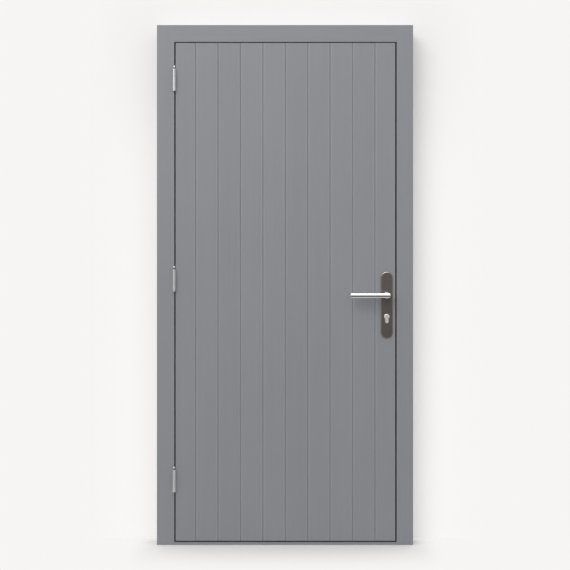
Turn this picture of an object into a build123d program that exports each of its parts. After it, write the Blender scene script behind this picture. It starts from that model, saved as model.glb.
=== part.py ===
from build123d import *
import math
import os

os.makedirs("parts", exist_ok=True)

# An outward-opening exterior door: a boarded leaf on three butt hinges in a rebated timber
# frame. Sizes are millimetres. +X is to the right seen from outside, -Y is outwards and +Z is
# up. The origin is the middle of the frame's underside, half way through its depth.

# Frame
frame_width = 1030
frame_height = 2090
frame_depth = 90
hinge_jamb_face = 70
lock_jamb_face = 66
head_face = 68
sill_face = 11
stop_projection = 14
stop_clearance = 5
arris = 1
fixing_hole_radius = 4
fixing_hole_count = 4
fixing_hole_rise = 150
fixing_hole_drop = 110

# Leaf: boards in front, stiles, rails and braces behind them
hinge_gap = 5
lock_gap = 5.5
head_gap = 4
sill_gap = 6
board_count = 10
edge_board_trim = 8.75
board_thickness = 18
groove_bevel_width = 3.5
groove_bevel_depth = 1.6
tongue_length = 6
tongue_thickness = 6
tongue_clearance = 0.3
framing_thickness = 24
stile_width = 96
top_rail_width = 96
lock_rail_width = 150
bottom_rail_width = 180
lock_rail_middle = 990
brace_width = 90

# Weather seal: a flat base with a soft bulb, on the stop's front
seal_width = 9
seal_base = 1.5
seal_inset = 1
seal_clearance = 0.5

# Butt hinges with loose pins, whose bevelled heads stand on short necks
hinge_height = 89
top_hinge_drop = 150.5
bottom_hinge_rise = 242
hinge_axis_offset = 2
knuckle_count = 3
knuckle_gap = 0.4
knuckle_radius = 6.5
knuckle_clearance = 0.75
pin_radius = 3.2
pin_clearance = 0.05
pin_neck_height = 3.5
pin_head_radius = 4.5
pin_head_bevel = 1.8
plate_thickness = 2.5
plate_depth = 32

# Lock: heights from the frame's underside
backset = 35
spindle_height = 1002.5
cylinder_drop = 85
latch_rise = 22.5
deadbolt_drop = 48
case_thickness = 15
case_height = 176
case_depth = 54
case_rise = 50
faceplate_width = 22
faceplate_height = 236
faceplate_thickness = 3
latch_height = 21
deadbolt_height = 30
bolt_thickness = 11
latch_length = 30
deadbolt_length = 38
bolt_clearance = 0.3
strike_width = 24
strike_height = 206
strike_thickness = 3
strike_hole_width = 15
strike_latch_hole_height = 40
strike_bolt_hole_height = 37
strike_pocket_depth = 22

# Profile cylinder, its collar and the plates
cylinder_radius = 8.5
cylinder_tail_width = 10
cylinder_height = 33
cylinder_clearance = 0.4
cylinder_proud = 1.5
keyway_width = 2
keyway_height = 8.5
keyway_depth = 3
collar_wall = 3
collar_height = 3.5
outside_plate_width = 47
outside_plate_thickness = 6
inside_plate_width = 40
inside_plate_thickness = 6
plate_height = 266
plate_middle_drop = 38
plate_bevel = 2.5

# Lever pair on a square spindle
lever_radius = 10.5
lever_reach = 148
lever_projection = 50
shoulder_radius = 15.5
shoulder_face_radius = 11.5
shoulder_thickness = 6
lever_running_gap = 0.4
journal_radius = 9
journal_clearance = 0.1
spindle_side = 8
spindle_clearance = 0.05
spindle_hole_radius = 11
socket_depth = 28

# Places that follow from the sizes above
front = -frame_depth / 2
back = frame_depth / 2
leaf_framing_front = front + board_thickness
leaf_back = leaf_framing_front + framing_thickness
leaf_middle_y = (front + leaf_back) / 2
stop_front = leaf_back + stop_clearance
opening_left = -frame_width / 2 + hinge_jamb_face
opening_right = frame_width / 2 - lock_jamb_face
opening_top = frame_height - head_face
opening_bottom = sill_face
stop_left = opening_left + stop_projection
stop_right = opening_right - stop_projection
stop_top = opening_top - stop_projection
stop_bottom = opening_bottom + stop_projection
leaf_left = opening_left + hinge_gap
leaf_right = opening_right - lock_gap
leaf_top = opening_top - head_gap
leaf_bottom = opening_bottom + sill_gap
leaf_height = leaf_top - leaf_bottom
board_pitch = (leaf_right - leaf_left + 2 * edge_board_trim) / board_count
stile_left = leaf_left + stile_width
stile_right = leaf_right - stile_width
hinge_axis_x = opening_left + hinge_gap / 2 - hinge_axis_offset
hinge_axis_y = front - knuckle_radius - knuckle_clearance
top_hinge_z = leaf_top - top_hinge_drop
bottom_hinge_z = leaf_bottom + bottom_hinge_rise
hinge_heights = {
    "top": top_hinge_z,
    "middle": (top_hinge_z + bottom_hinge_z) / 2,
    "bottom": bottom_hinge_z,
}
knuckle_length = (hinge_height - (knuckle_count - 1) * knuckle_gap) / knuckle_count
spindle_x = leaf_right - backset
cylinder_z = spindle_height - cylinder_drop
latch_z = spindle_height + latch_rise
deadbolt_z = spindle_height - deadbolt_drop
plate_z = spindle_height - plate_middle_drop
case_high = spindle_height + case_rise
case_low = case_high - case_height
faceplate_z = (case_low + case_high) / 2
faceplate_low = faceplate_z - faceplate_height / 2
faceplate_high = faceplate_z + faceplate_height / 2
strike_z = (latch_z + deadbolt_z) / 2
outside_plate_face = front - outside_plate_thickness
inside_plate_face = leaf_back + inside_plate_thickness


def upright(y):
    """The upright plane at y whose sketches read as seen from outside."""
    return Plane.XZ.offset(-y)


def block(low, high, mode=Mode.ADD):
    """A rectangular block between two opposite corners, in the current part."""
    sizes = [far - near for near, far in zip(low, high)]
    with Locations(low):
        Box(*sizes, align=(Align.MIN, Align.MIN, Align.MIN), mode=mode)


def save(piece, name):
    """Label a finished piece and write it to a file of its own."""
    piece.part.label = name
    export_step(piece.part, f"parts/{name}.step")


# Frame


def jamb_section(outer, rebate, stop):
    """The section of a jamb: its face and rebate, then the stop behind them."""
    with BuildSketch() as section:
        with BuildLine():
            Polyline(
                (outer, front),
                (rebate, front),
                (rebate, stop_front),
                (stop, stop_front),
                (stop, back),
                (outer, back),
                close=True,
            )
        make_face()
        chamfer(section.vertices().group_by(Axis.Y)[0], arris)
    return section.sketch


def drill_fixing_holes(outer, rebate):
    """The row of holes for the screws that hold a jamb to the wall."""
    side_plane = Plane(origin=(rebate, leaf_middle_y, 0), x_dir=(0, 1, 0), z_dir=(1, 0, 0))
    spacing = (frame_height - fixing_hole_rise - fixing_hole_drop) / (fixing_hole_count - 1)
    heights = [fixing_hole_rise + step * spacing for step in range(fixing_hole_count)]
    with Locations(side_plane):
        with Locations(*[(0, height) for height in heights]):
            Hole(fixing_hole_radius, depth=2 * abs(outer - rebate))


def cut_hinge_seats(edge_x, side):
    """The seats of the hinge plates, let into an edge at edge_x towards side."""
    seat_bottom = min(edge_x, edge_x + side * plate_thickness)
    for hinge_z in hinge_heights.values():
        block(
            (seat_bottom, front, hinge_z - hinge_height / 2),
            (seat_bottom + plate_thickness, front + plate_depth, hinge_z + hinge_height / 2),
            mode=Mode.SUBTRACT,
        )


def cross_member(edge_z, stop_z, outer_z):
    """A member between the jambs, scribed round their stops at both ends."""
    with BuildPart() as member:
        with BuildSketch(Plane.YZ.offset(opening_left)) as section:
            with BuildLine():
                Polyline(
                    (front, outer_z),
                    (front, edge_z),
                    (stop_front, edge_z),
                    (stop_front, stop_z),
                    (back, stop_z),
                    (back, outer_z),
                    close=True,
                )
            make_face()
        extrude(amount=opening_right - opening_left)
        low_z, high_z = sorted((stop_z, outer_z))
        for near, far in ((opening_left, stop_left), (stop_right, opening_right)):
            block((near, stop_front, low_z), (far, back, high_z), mode=Mode.SUBTRACT)
        visible_arris = member.edges().filter_by(Axis.X).sort_by_distance((0, front, edge_z))[0]
        chamfer(visible_arris, arris)
    return member


with BuildPart() as hinge_jamb:
    extrude(jamb_section(-frame_width / 2, opening_left, stop_left), amount=frame_height)
    cut_hinge_seats(opening_left, -1)
    drill_fixing_holes(-frame_width / 2, opening_left)
save(hinge_jamb, "hinge_jamb")

strike_low = strike_z - strike_height / 2
strike_high = strike_z + strike_height / 2
strike_holes = (
    (latch_z, strike_latch_hole_height),
    (deadbolt_z, strike_bolt_hole_height),
)

with BuildPart() as lock_jamb:
    extrude(jamb_section(frame_width / 2, opening_right, stop_right), amount=frame_height)
    block(
        (opening_right, leaf_middle_y - strike_width / 2, strike_low),
        (opening_right + strike_thickness, leaf_middle_y + strike_width / 2, strike_high),
        mode=Mode.SUBTRACT,
    )
    for hole_z, hole_height in strike_holes:
        block(
            (opening_right, leaf_middle_y - strike_hole_width / 2, hole_z - hole_height / 2),
            (
                opening_right + strike_pocket_depth,
                leaf_middle_y + strike_hole_width / 2,
                hole_z + hole_height / 2,
            ),
            mode=Mode.SUBTRACT,
        )
    drill_fixing_holes(frame_width / 2, opening_right)
save(lock_jamb, "lock_jamb")

save(cross_member(opening_top, stop_top, frame_height), "head")
save(cross_member(opening_bottom, stop_bottom, 0), "sill")

# Weather seal, four straight runs butted at the corners

seal_back = stop_front
seal_front = leaf_back + seal_clearance


def seal_section(plane, middle):
    """A seal's section, drawn on a plane across its run, with its middle at a distance."""
    bulb_radius = (seal_back - seal_front) / 2
    with BuildSketch(plane) as section:
        with Locations((middle, seal_back - seal_base / 2)):
            Rectangle(seal_width, seal_base)
        with Locations((middle, seal_front + bulb_radius)):
            Circle(bulb_radius)
    return section.sketch


seal_left = stop_left - seal_inset
seal_right = stop_right + seal_inset
seal_top = stop_top + seal_inset + seal_width
seal_bottom = stop_bottom - seal_inset - seal_width

for name, middle_x in (
    ("hinge_jamb_seal", seal_left - seal_width / 2),
    ("lock_jamb_seal", seal_right + seal_width / 2),
):
    with BuildPart() as upright_seal:
        section = seal_section(Plane.XY.offset(seal_bottom), middle_x)
        extrude(section, amount=seal_top - seal_bottom)
    save(upright_seal, name)

seal_end = Plane(origin=(seal_left, 0, 0), x_dir=(0, 0, 1), z_dir=(-1, 0, 0))
for name, middle_z in (
    ("head_seal", seal_top - seal_width / 2),
    ("sill_seal", seal_bottom + seal_width / 2),
):
    with BuildPart() as level_seal:
        extrude(seal_section(seal_end, middle_z), amount=-(seal_right - seal_left))
    save(level_seal, name)

# Lock cuts shared by the last board and the lock stile


def profile_outline(plane, margin):
    """The profile cylinder's outline, a round barrel with a narrow tail, and a margin round it."""
    tail_radius = cylinder_tail_width / 2
    tail_drop = cylinder_height - cylinder_radius - tail_radius
    with BuildSketch(plane) as outline:
        with Locations((spindle_x, cylinder_z)):
            Circle(cylinder_radius + margin)
            with Locations((0, -tail_drop)):
                Circle(tail_radius + margin)
            with Locations((0, -tail_drop / 2)):
                Rectangle(cylinder_tail_width + 2 * margin, tail_drop)
    return outline.sketch


def cut_lock_openings():
    """The lock's mortise, the seat of its faceplate and the holes across the leaf."""
    block(
        (leaf_right - case_depth, leaf_middle_y - case_thickness / 2, case_low),
        (leaf_right, leaf_middle_y + case_thickness / 2, case_high),
        mode=Mode.SUBTRACT,
    )
    block(
        (leaf_right - faceplate_thickness, leaf_middle_y - faceplate_width / 2, faceplate_low),
        (leaf_right, leaf_middle_y + faceplate_width / 2, faceplate_high),
        mode=Mode.SUBTRACT,
    )
    with Locations(upright(front)):
        with Locations((spindle_x, spindle_height)):
            Hole(spindle_hole_radius, depth=leaf_back - front)
    slot_reach = cylinder_radius + cylinder_clearance
    slot_low = cylinder_z + cylinder_radius - cylinder_height - cylinder_clearance
    block(
        (spindle_x - slot_reach, front, slot_low),
        (spindle_x + slot_reach, leaf_back, cylinder_z + slot_reach),
        mode=Mode.SUBTRACT,
    )


# Boards

board_edges = [leaf_left]
for joint in range(board_count - 1):
    board_edges.append(leaf_left - edge_board_trim + (joint + 1) * board_pitch)
board_edges.append(leaf_right)
tongue_y = (front + groove_bevel_depth + leaf_framing_front) / 2


def board_section(number):
    """A board's section: bevelled towards its neighbours, grooved left and tongued right."""
    left = board_edges[number]
    right = board_edges[number + 1]
    has_left_neighbour = number > 0
    has_right_neighbour = number < board_count - 1
    with BuildSketch() as section:
        with Locations(((left + right) / 2, (front + leaf_framing_front) / 2)):
            Rectangle(right - left, board_thickness)
        corners = section.vertices().group_by(Axis.Y)[0].sort_by(Axis.X)
        for corner, has_neighbour in zip(corners, (has_left_neighbour, has_right_neighbour)):
            if has_neighbour:
                face_edge = section.edges().filter_by(Axis.X).sort_by(Axis.Y)[0]
                chamfer(corner, groove_bevel_width, groove_bevel_depth, reference=face_edge)
            else:
                chamfer(corner, arris)
        if has_left_neighbour:
            groove_length = tongue_length + tongue_clearance
            with Locations((left + groove_length / 2, tongue_y)):
                Rectangle(groove_length, tongue_thickness + 2 * tongue_clearance, mode=Mode.SUBTRACT)
        if has_right_neighbour:
            with Locations((right + tongue_length / 2, tongue_y)):
                Rectangle(tongue_length, tongue_thickness)
    return section.sketch


for number in range(board_count):
    with BuildPart() as board:
        with Locations((0, 0, leaf_bottom)):
            add(extrude(board_section(number), amount=leaf_height, mode=Mode.PRIVATE))
        if number == 0:
            cut_hinge_seats(leaf_left, 1)
        if number == board_count - 1:
            cut_lock_openings()
    save(board, f"board_{number + 1:02d}")

# Framing behind the boards

with BuildPart() as hinge_stile:
    block((leaf_left, leaf_framing_front, leaf_bottom), (stile_left, leaf_back, leaf_top))
    cut_hinge_seats(leaf_left, 1)
save(hinge_stile, "hinge_stile")

with BuildPart() as lock_stile:
    block((stile_right, leaf_framing_front, leaf_bottom), (leaf_right, leaf_back, leaf_top))
    cut_lock_openings()
save(lock_stile, "lock_stile")

rail_spans = {
    "top_rail": (leaf_top - top_rail_width, leaf_top),
    "lock_rail": (lock_rail_middle - lock_rail_width / 2, lock_rail_middle + lock_rail_width / 2),
    "bottom_rail": (leaf_bottom, leaf_bottom + bottom_rail_width),
}
for name, (low_z, high_z) in rail_spans.items():
    with BuildPart() as rail:
        block((stile_left, leaf_framing_front, low_z), (stile_right, leaf_back, high_z))
    save(rail, name)

panel_spans = {
    "upper_brace": (rail_spans["lock_rail"][1], rail_spans["top_rail"][0]),
    "lower_brace": (rail_spans["bottom_rail"][1], rail_spans["lock_rail"][0]),
}
panel_width = stile_right - stile_left
for name, (low_z, high_z) in panel_spans.items():
    panel_height = high_z - low_z
    slope = math.degrees(math.atan2(panel_height, panel_width))
    diagonal = math.hypot(panel_height, panel_width)
    with BuildPart() as brace:
        with BuildSketch(upright(leaf_back)):
            with Locations(((stile_left + stile_right) / 2, (low_z + high_z) / 2)):
                Rectangle(panel_width, panel_height)
                Rectangle(diagonal + brace_width, brace_width, rotation=slope, mode=Mode.INTERSECT)
        extrude(amount=framing_thickness)
    save(brace, name)

# Hinges


def hinge_plate(side, middle_z, knuckles):
    """A hinge plate with its knuckles: side is -1 on the frame and +1 on the leaf."""
    plate_face = opening_left if side < 0 else leaf_left
    plate_x = plate_face + side * plate_thickness / 2
    bottom_z = middle_z - hinge_height / 2
    with BuildPart() as plate:
        with Locations((plate_x, front + plate_depth / 2, middle_z)):
            Box(plate_thickness, plate_depth, hinge_height)
        for knuckle in knuckles:
            knuckle_z = bottom_z + knuckle * (knuckle_length + knuckle_gap)
            with BuildSketch(Plane.XY.offset(knuckle_z)):
                with Locations((hinge_axis_x, hinge_axis_y)):
                    Circle(knuckle_radius)
                with Locations((plate_x, (hinge_axis_y + front) / 2)):
                    Rectangle(plate_thickness, front - hinge_axis_y)
                with Locations((hinge_axis_x, hinge_axis_y)):
                    Circle(pin_radius + pin_clearance, mode=Mode.SUBTRACT)
            extrude(amount=knuckle_length)
    return plate


def hinge_pin(middle_z):
    """A pin that fills the knuckles, with a round head on a neck above the top one."""
    bottom_z = middle_z - hinge_height / 2
    neck_top = hinge_height + pin_neck_height
    axis_plane = Plane(
        origin=(hinge_axis_x, hinge_axis_y, bottom_z), x_dir=(1, 0, 0), z_dir=(0, -1, 0)
    )
    with BuildPart() as pin:
        with BuildSketch(axis_plane) as half_section:
            with Locations((0, neck_top)):
                Rectangle(pin_head_radius, 2 * pin_head_radius, align=(Align.MIN, Align.MIN))
            chamfer(half_section.vertices().group_by(Axis.X)[-1], pin_head_bevel)
            Rectangle(pin_radius, neck_top, align=(Align.MIN, Align.MIN))
        revolve(axis=Axis((hinge_axis_x, hinge_axis_y, 0), (0, 0, 1)))
    return pin


frame_knuckles = range(0, knuckle_count, 2)
leaf_knuckles = range(1, knuckle_count, 2)
for place, hinge_z in hinge_heights.items():
    save(hinge_plate(-1, hinge_z, frame_knuckles), f"{place}_hinge_frame_plate")
    save(hinge_plate(1, hinge_z, leaf_knuckles), f"{place}_hinge_leaf_plate")
    save(hinge_pin(hinge_z), f"{place}_hinge_pin")

# Lock case, bolts and strike


def edge_plane(x, z, direction):
    """The plane of a plate on an edge at x, facing along direction."""
    return Plane(origin=(x, leaf_middle_y, z), x_dir=(0, 1, 0), z_dir=(direction, 0, 0))


bolts = {
    "latch_bolt": (latch_z, latch_height, latch_length),
    "deadbolt": (deadbolt_z, deadbolt_height, deadbolt_length),
}

with BuildPart() as lock_case:
    block(
        (leaf_right - case_depth, leaf_middle_y - case_thickness / 2, case_low),
        (leaf_right - faceplate_thickness, leaf_middle_y + case_thickness / 2, case_high),
    )
    with BuildSketch(edge_plane(leaf_right, faceplate_z, 1)):
        Rectangle(faceplate_width, faceplate_height)
    extrude(amount=-faceplate_thickness)
    for bolt_z, bolt_height, bolt_length in bolts.values():
        with BuildSketch(edge_plane(leaf_right, bolt_z, 1)):
            Rectangle(bolt_thickness + 2 * bolt_clearance, bolt_height + 2 * bolt_clearance)
        extrude(amount=-(bolt_length + bolt_clearance), mode=Mode.SUBTRACT)
    with Locations(upright(leaf_middle_y)):
        with Locations((spindle_x, spindle_height)):
            Hole(spindle_side, depth=case_thickness)
    extrude(
        profile_outline(upright(leaf_middle_y), cylinder_clearance),
        amount=case_thickness,
        both=True,
        mode=Mode.SUBTRACT,
    )
save(lock_case, "lock_case")

for name, (bolt_z, bolt_height, bolt_length) in bolts.items():
    with BuildPart() as bolt:
        with BuildSketch(edge_plane(leaf_right, bolt_z, 1)):
            Rectangle(bolt_thickness, bolt_height)
        extrude(amount=-bolt_length)
        if name == "latch_bolt":
            leading_edge = bolt.faces().sort_by(Axis.X)[-1].edges().sort_by(Axis.Y)[-1]
            chamfer(leading_edge, length=bolt_thickness * 0.75)
    save(bolt, name)

with BuildPart() as strike_plate:
    with BuildSketch(edge_plane(opening_right, strike_z, -1)):
        Rectangle(strike_width, strike_height)
        for hole_z, hole_height in strike_holes:
            with Locations((0, strike_z - hole_z)):
                Rectangle(strike_hole_width, hole_height, mode=Mode.SUBTRACT)
    extrude(amount=-strike_thickness)
save(strike_plate, "strike_plate")

# Plates, cylinder and collar


def long_plate(y, thickness, width, bevelled_face):
    """A plate with round ends on the leaf, with the lever's and the cylinder's holes."""
    with BuildPart() as plate:
        with BuildSketch(upright(y)):
            with Locations((spindle_x, plate_z)):
                SlotOverall(plate_height, width, rotation=90)
        extrude(amount=thickness)
        chamfer(plate.faces().sort_by(Axis.Y)[bevelled_face].edges(), plate_bevel)
        with Locations(upright(y)):
            with Locations((spindle_x, spindle_height)):
                Hole(journal_radius + journal_clearance, depth=2 * abs(thickness))
        extrude(
            profile_outline(upright(y), cylinder_clearance), amount=thickness, mode=Mode.SUBTRACT
        )
    return plate


save(long_plate(front, outside_plate_thickness, outside_plate_width, 0), "outside_plate")
save(long_plate(leaf_back, -inside_plate_thickness, inside_plate_width, -1), "inside_plate")

cylinder_front = outside_plate_face - collar_height - cylinder_proud
cylinder_back = inside_plate_face + collar_height

with BuildPart() as lock_cylinder:
    extrude(
        profile_outline(upright(cylinder_front), 0), amount=-(cylinder_back - cylinder_front)
    )
    for end_y, inwards in ((cylinder_front, -1), (cylinder_back, 1)):
        with BuildSketch(upright(end_y)):
            with Locations((spindle_x, cylinder_z)):
                Rectangle(keyway_width, keyway_height)
        extrude(amount=inwards * keyway_depth, mode=Mode.SUBTRACT)
save(lock_cylinder, "lock_cylinder")

with BuildPart() as cylinder_collar:
    extrude(profile_outline(upright(outside_plate_face), collar_wall), amount=collar_height)
    extrude(
        profile_outline(upright(outside_plate_face), cylinder_clearance),
        amount=collar_height,
        mode=Mode.SUBTRACT,
    )
save(cylinder_collar, "cylinder_collar")

# Levers and spindle


def lever(leaf_face, plate_face, outwards):
    """An L-shaped lever of round bar on a sloping shoulder: outwards is -1 outside, +1 inside."""
    shoulder_y = plate_face + outwards * lever_running_gap
    bar_y = leaf_face + outwards * lever_projection
    slope = math.degrees(math.atan2(shoulder_radius - shoulder_face_radius, shoulder_thickness))
    with BuildPart() as handle:
        with BuildLine():
            Polyline(
                (spindle_x, shoulder_y, spindle_height),
                (spindle_x, bar_y, spindle_height),
                (spindle_x - lever_reach, bar_y, spindle_height),
            )
        with BuildSketch(upright(shoulder_y)):
            with Locations((spindle_x, spindle_height)):
                Circle(lever_radius)
        sweep(transition=Transition.RIGHT)
        with BuildSketch(upright(shoulder_y)):
            with Locations((spindle_x, spindle_height)):
                Circle(shoulder_radius)
        extrude(amount=-outwards * shoulder_thickness, taper=slope)
        with BuildSketch(upright(leaf_face)):
            with Locations((spindle_x, spindle_height)):
                Circle(journal_radius)
        extrude(amount=-(shoulder_y - leaf_face))
        with BuildSketch(upright(leaf_face)):
            with Locations((spindle_x, spindle_height)):
                side = spindle_side + 2 * spindle_clearance
                Rectangle(side, side)
        extrude(amount=-outwards * socket_depth, mode=Mode.SUBTRACT)
    return handle


save(lever(front, outside_plate_face, -1), "outside_lever")
save(lever(leaf_back, inside_plate_face, 1), "inside_lever")

with BuildPart() as spindle:
    spindle_start = front - socket_depth
    spindle_end = leaf_back + socket_depth
    with BuildSketch(upright(spindle_start)):
        with Locations((spindle_x, spindle_height)):
            Rectangle(spindle_side, spindle_side)
    extrude(amount=-(spindle_end - spindle_start))
save(spindle, "spindle")
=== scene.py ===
import math

import bmesh
import bpy
from bpy.props import FloatProperty, FloatVectorProperty, PointerProperty
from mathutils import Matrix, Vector


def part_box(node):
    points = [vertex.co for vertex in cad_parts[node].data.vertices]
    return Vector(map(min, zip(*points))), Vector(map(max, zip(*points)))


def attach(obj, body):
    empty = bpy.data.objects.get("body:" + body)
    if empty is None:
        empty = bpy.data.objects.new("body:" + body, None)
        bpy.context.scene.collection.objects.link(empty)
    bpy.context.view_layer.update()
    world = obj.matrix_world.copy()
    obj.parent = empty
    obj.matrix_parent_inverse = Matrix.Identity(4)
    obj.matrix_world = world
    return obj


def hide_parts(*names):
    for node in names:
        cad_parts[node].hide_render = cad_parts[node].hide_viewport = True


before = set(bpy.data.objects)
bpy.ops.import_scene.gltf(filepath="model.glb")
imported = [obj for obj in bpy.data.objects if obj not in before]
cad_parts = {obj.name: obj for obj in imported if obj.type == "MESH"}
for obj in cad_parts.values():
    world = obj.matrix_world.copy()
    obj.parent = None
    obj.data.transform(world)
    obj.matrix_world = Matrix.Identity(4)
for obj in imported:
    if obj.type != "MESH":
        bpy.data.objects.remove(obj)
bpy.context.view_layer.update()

bl_info = {
    "name": "Exterior door",
    "version": (1, 0, 0),
    "blender": (4, 5, 0),
    "location": "3D View > Sidebar > Door",
    "description": "Dresses a boarded door in paint, hinges, lock furniture and a plain studio",
    "category": "Object",
}

MM = 0.001


def low(node):
    """The lowest corner of a node."""
    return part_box(node)[0]


def high(node):
    """The highest corner of a node."""
    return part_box(node)[1]


def middle(node):
    """The middle of a node's box."""
    return (low(node) + high(node)) / 2


# Places read from the model's parts. -Y is outwards. Four numbers are left, right, bottom and top.
FRONT = low("head").y
BACK = high("head").y
STOP_FRONT = high("head_seal").y
STOP_PROJECTION = high("hinge_jamb").x - low("head").x
OUTER = (low("hinge_jamb").x, high("lock_jamb").x, low("sill").z, high("head").z)
STOP = (high("hinge_jamb").x, low("lock_jamb").x, high("sill").z, low("head").z)
REBATE = (low("head").x, high("head").x, STOP[2] - STOP_PROJECTION, STOP[3] + STOP_PROJECTION)
LEAF_LEFT = low("board_01").x
LEAF_RIGHT = high("board_10").x
LEAF_BOTTOM = low("board_01").z
LEAF_TOP = high("board_01").z
BOARD_BACK = high("board_01").y
LEAF_BACK = high("hinge_stile").y
LEAF_MIDDLE_Y = (FRONT + LEAF_BACK) / 2
FIRST_JOINT = low("board_02").x
LAST_JOINT = low("board_10").x
FULL_BOARDS = 8
BOARD_PITCH = (LAST_JOINT - FIRST_JOINT) / FULL_BOARDS
SPINDLE_X = middle("spindle").x
SPINDLE_Z = middle("spindle").z
CYLINDER_RADIUS = (high("lock_cylinder").x - low("lock_cylinder").x) / 2
CYLINDER_Z = high("lock_cylinder").z - CYLINDER_RADIUS
PLACES = ("top", "middle", "bottom")
HINGE_THICKNESS = high("top_hinge_leaf_plate").x - LEAF_LEFT

# Sizes that the nodes' boxes don't give
TONGUE_LENGTH = 6 * MM
TONGUE_THICKNESS = 6 * MM
TONGUE_CLEARANCE = 0.3 * MM
FACEPLATE_THICKNESS = 3 * MM
FACEPLATE_OVERHANG = 30 * MM
CASE_THICKNESS = 15 * MM
SPINDLE_HOLE_RADIUS = 11 * MM
CYLINDER_CLEARANCE = 0.4 * MM
CYLINDER_TAIL_RADIUS = 5 * MM
STRIKE_HOLE_HEIGHTS = {"latch_bolt": 40 * MM, "deadbolt": 37 * MM}
STRIKE_POCKET_DEPTH = 22 * MM
FIXING_HOLE_RADIUS = 4 * MM
FIXING_HOLES = 4
FIXING_HOLE_RISE = 150 * MM
FIXING_HOLE_SPACING = 610 * MM
FIXING_BORE_LENGTH = 90 * MM
FIXING_BORE_LEAD = 5 * MM
KNUCKLES = 3
KNUCKLE_GAP = 0.4 * MM
PIN_RADIUS = 3.2 * MM
PIN_CLEARANCE = 0.05 * MM
PIN_NECK_HEIGHT = 3.5 * MM
LEVER_RADIUS = 10.5 * MM
LEVER_RUNNING_GAP = 0.4 * MM
JOURNAL_RADIUS = 9 * MM
JOURNAL_CLEARANCE = 0.1 * MM
SHOULDER_FACE_RADIUS = 11.5 * MM
SHOULDER_HEIGHT = 6 * MM

# How far a cutter reaches past the face that it cuts
SPARE = 1 * MM


# Settings


def a_number(name, description, default, least=0.0, **kind):
    """A number that a user may change."""
    return FloatProperty(name=name, description=description, default=default, min=least, **kind)


def a_length(name, description, default, least=0.0):
    """A length that a user may change."""
    return a_number(name, description, default, least, unit="LENGTH")


def a_share(name, description, default):
    """A share from 0 to 1 that a user may change."""
    return a_number(name, description, default, max=1, subtype="FACTOR")


def a_colour(name, description, default):
    """A colour that a user may change."""
    return FloatVectorProperty(
        name=name, description=description, default=default, min=0, max=1, subtype="COLOR"
    )


class DoorSizes(bpy.types.PropertyGroup):
    """Small sizes that the solids leave open."""

    joint_gap: a_length("Joint gap", "Gap between two boards at the foot of the groove", 0.4 * MM)
    groove_width: a_length("Groove width", "Width of the bevel on a board's edges", 3.5 * MM)
    groove_depth: a_length("Groove depth", "Depth of the bevel on a board's edges", 1.6 * MM)
    # Edge highlight: the lighter paint beside each groove is a painted highlight
    edge_highlight: a_length("Edge highlight", "Width of the lighter paint along a board's edges", 6 * MM)
    board_arris: a_length("Board arris", "Rounding of the boards' long edges", 0.9 * MM)
    timber_arris: a_length("Timber arris", "Rounding of the frame and the framing", 0.8 * MM)
    plate_bevel: a_length("Plate bevel", "Bevel round the face of the long plates", 2.5 * MM)
    lever_arris: a_length("Lever arris", "Rounding of the lever's mitred corner", 0.6 * MM)
    screw_head: a_length("Screw head", "Diameter of the hinge and lock screws' heads", 8.4 * MM)


class DoorColours(bpy.types.PropertyGroup):
    """Colours of the door's finishes."""

    paint: a_colour("Paint", "Grey satin paint", (0.262, 0.270, 0.286))
    plate: a_colour("Plate", "Dark metal of the lock's long plates", (0.158, 0.138, 0.126))
    steel: a_colour("Steel", "Satin steel of the levers", (0.78, 0.77, 0.76))
    zinc: a_colour("Zinc", "Zinc plate of the hinges", (0.64, 0.65, 0.66))
    screw: a_colour("Screws", "Duller zinc plate of the screws", (0.33, 0.33, 0.34))
    nickel: a_colour("Nickel", "Nickel of the lock cylinder and its collar", (0.90, 0.89, 0.86))
    # The keyway's colour is painted shade, the dark of its deep slot
    keyway: a_colour("Keyway", "Dark inside of the keyway", (0.03, 0.028, 0.026))
    rubber: a_colour("Rubber", "Black rubber of the weather seal", (0.012, 0.012, 0.013))


class DoorStudio(bpy.types.PropertyGroup):
    """The camera, the lamps and the backdrop."""

    distance: a_length("Distance", "From the camera to the frame's front", 4.0, 0.5)
    field: a_length("Field", "Width that the camera sees at the frame's front", 2.291, 0.1)
    key_power: a_number(
        "Key power", "Power of the large soft lamp in front, up on the left", 575, subtype="POWER"
    )
    key_size: a_length("Key size", "Width of the large soft lamp", 8.0, 0.1)
    top_power: a_number("Top power", "Power of the lamp above the door", 130, subtype="POWER")
    sky: a_number("Sky", "Strength of the light from all round", 0.77)
    back_light: a_number("Back light", "How many times stronger it is from behind", 1.8, 1)
    shade_reach: a_length("Shade reach", "From the door to where its shadow has faded", 0.3, 0.01)
    backdrop: a_colour("Backdrop", "Colour of the floor and the wall", (0.930, 0.913, 0.905))
    wall_glow: a_number("Wall glow", "Light at the wall's foot that no shadow takes", 0.345)
    wall_level: a_share("Wall level", "Share of the backdrop's colour that the wall has", 0.92)
    floor_glow: a_number("Floor glow", "Light on the floor that no shadow takes", 0.15)
    floor_level: a_share("Floor level", "Share of the backdrop's colour that the floor has", 0.58)
    far_floor: a_length("Far floor", "From the door to where metal mirrors no more floor", 0.85)


def sizes():
    return bpy.context.scene.door_sizes


def colours():
    return bpy.context.scene.door_colours


# Node trees


def feed(tree, made, inputs):
    """Link or fill a node's inputs, by name or number."""
    for key, value in inputs.items():
        if isinstance(value, bpy.types.NodeSocket):
            tree.links.new(value, made.inputs[key])
        else:
            made.inputs[key].default_value = value


def add_node(tree, kind, inputs=None, **settings):
    """Add a node, set its properties and feed its inputs. Gives its outputs."""
    made = tree.nodes.new(kind)
    for name, value in settings.items():
        setattr(made, name, value)
    feed(tree, made, inputs or {})
    return made.outputs


def shade(tree, kind, inputs=None, **settings):
    """The first output of a new shader node."""
    return add_node(tree, "ShaderNode" + kind, inputs, **settings)[0]


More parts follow.
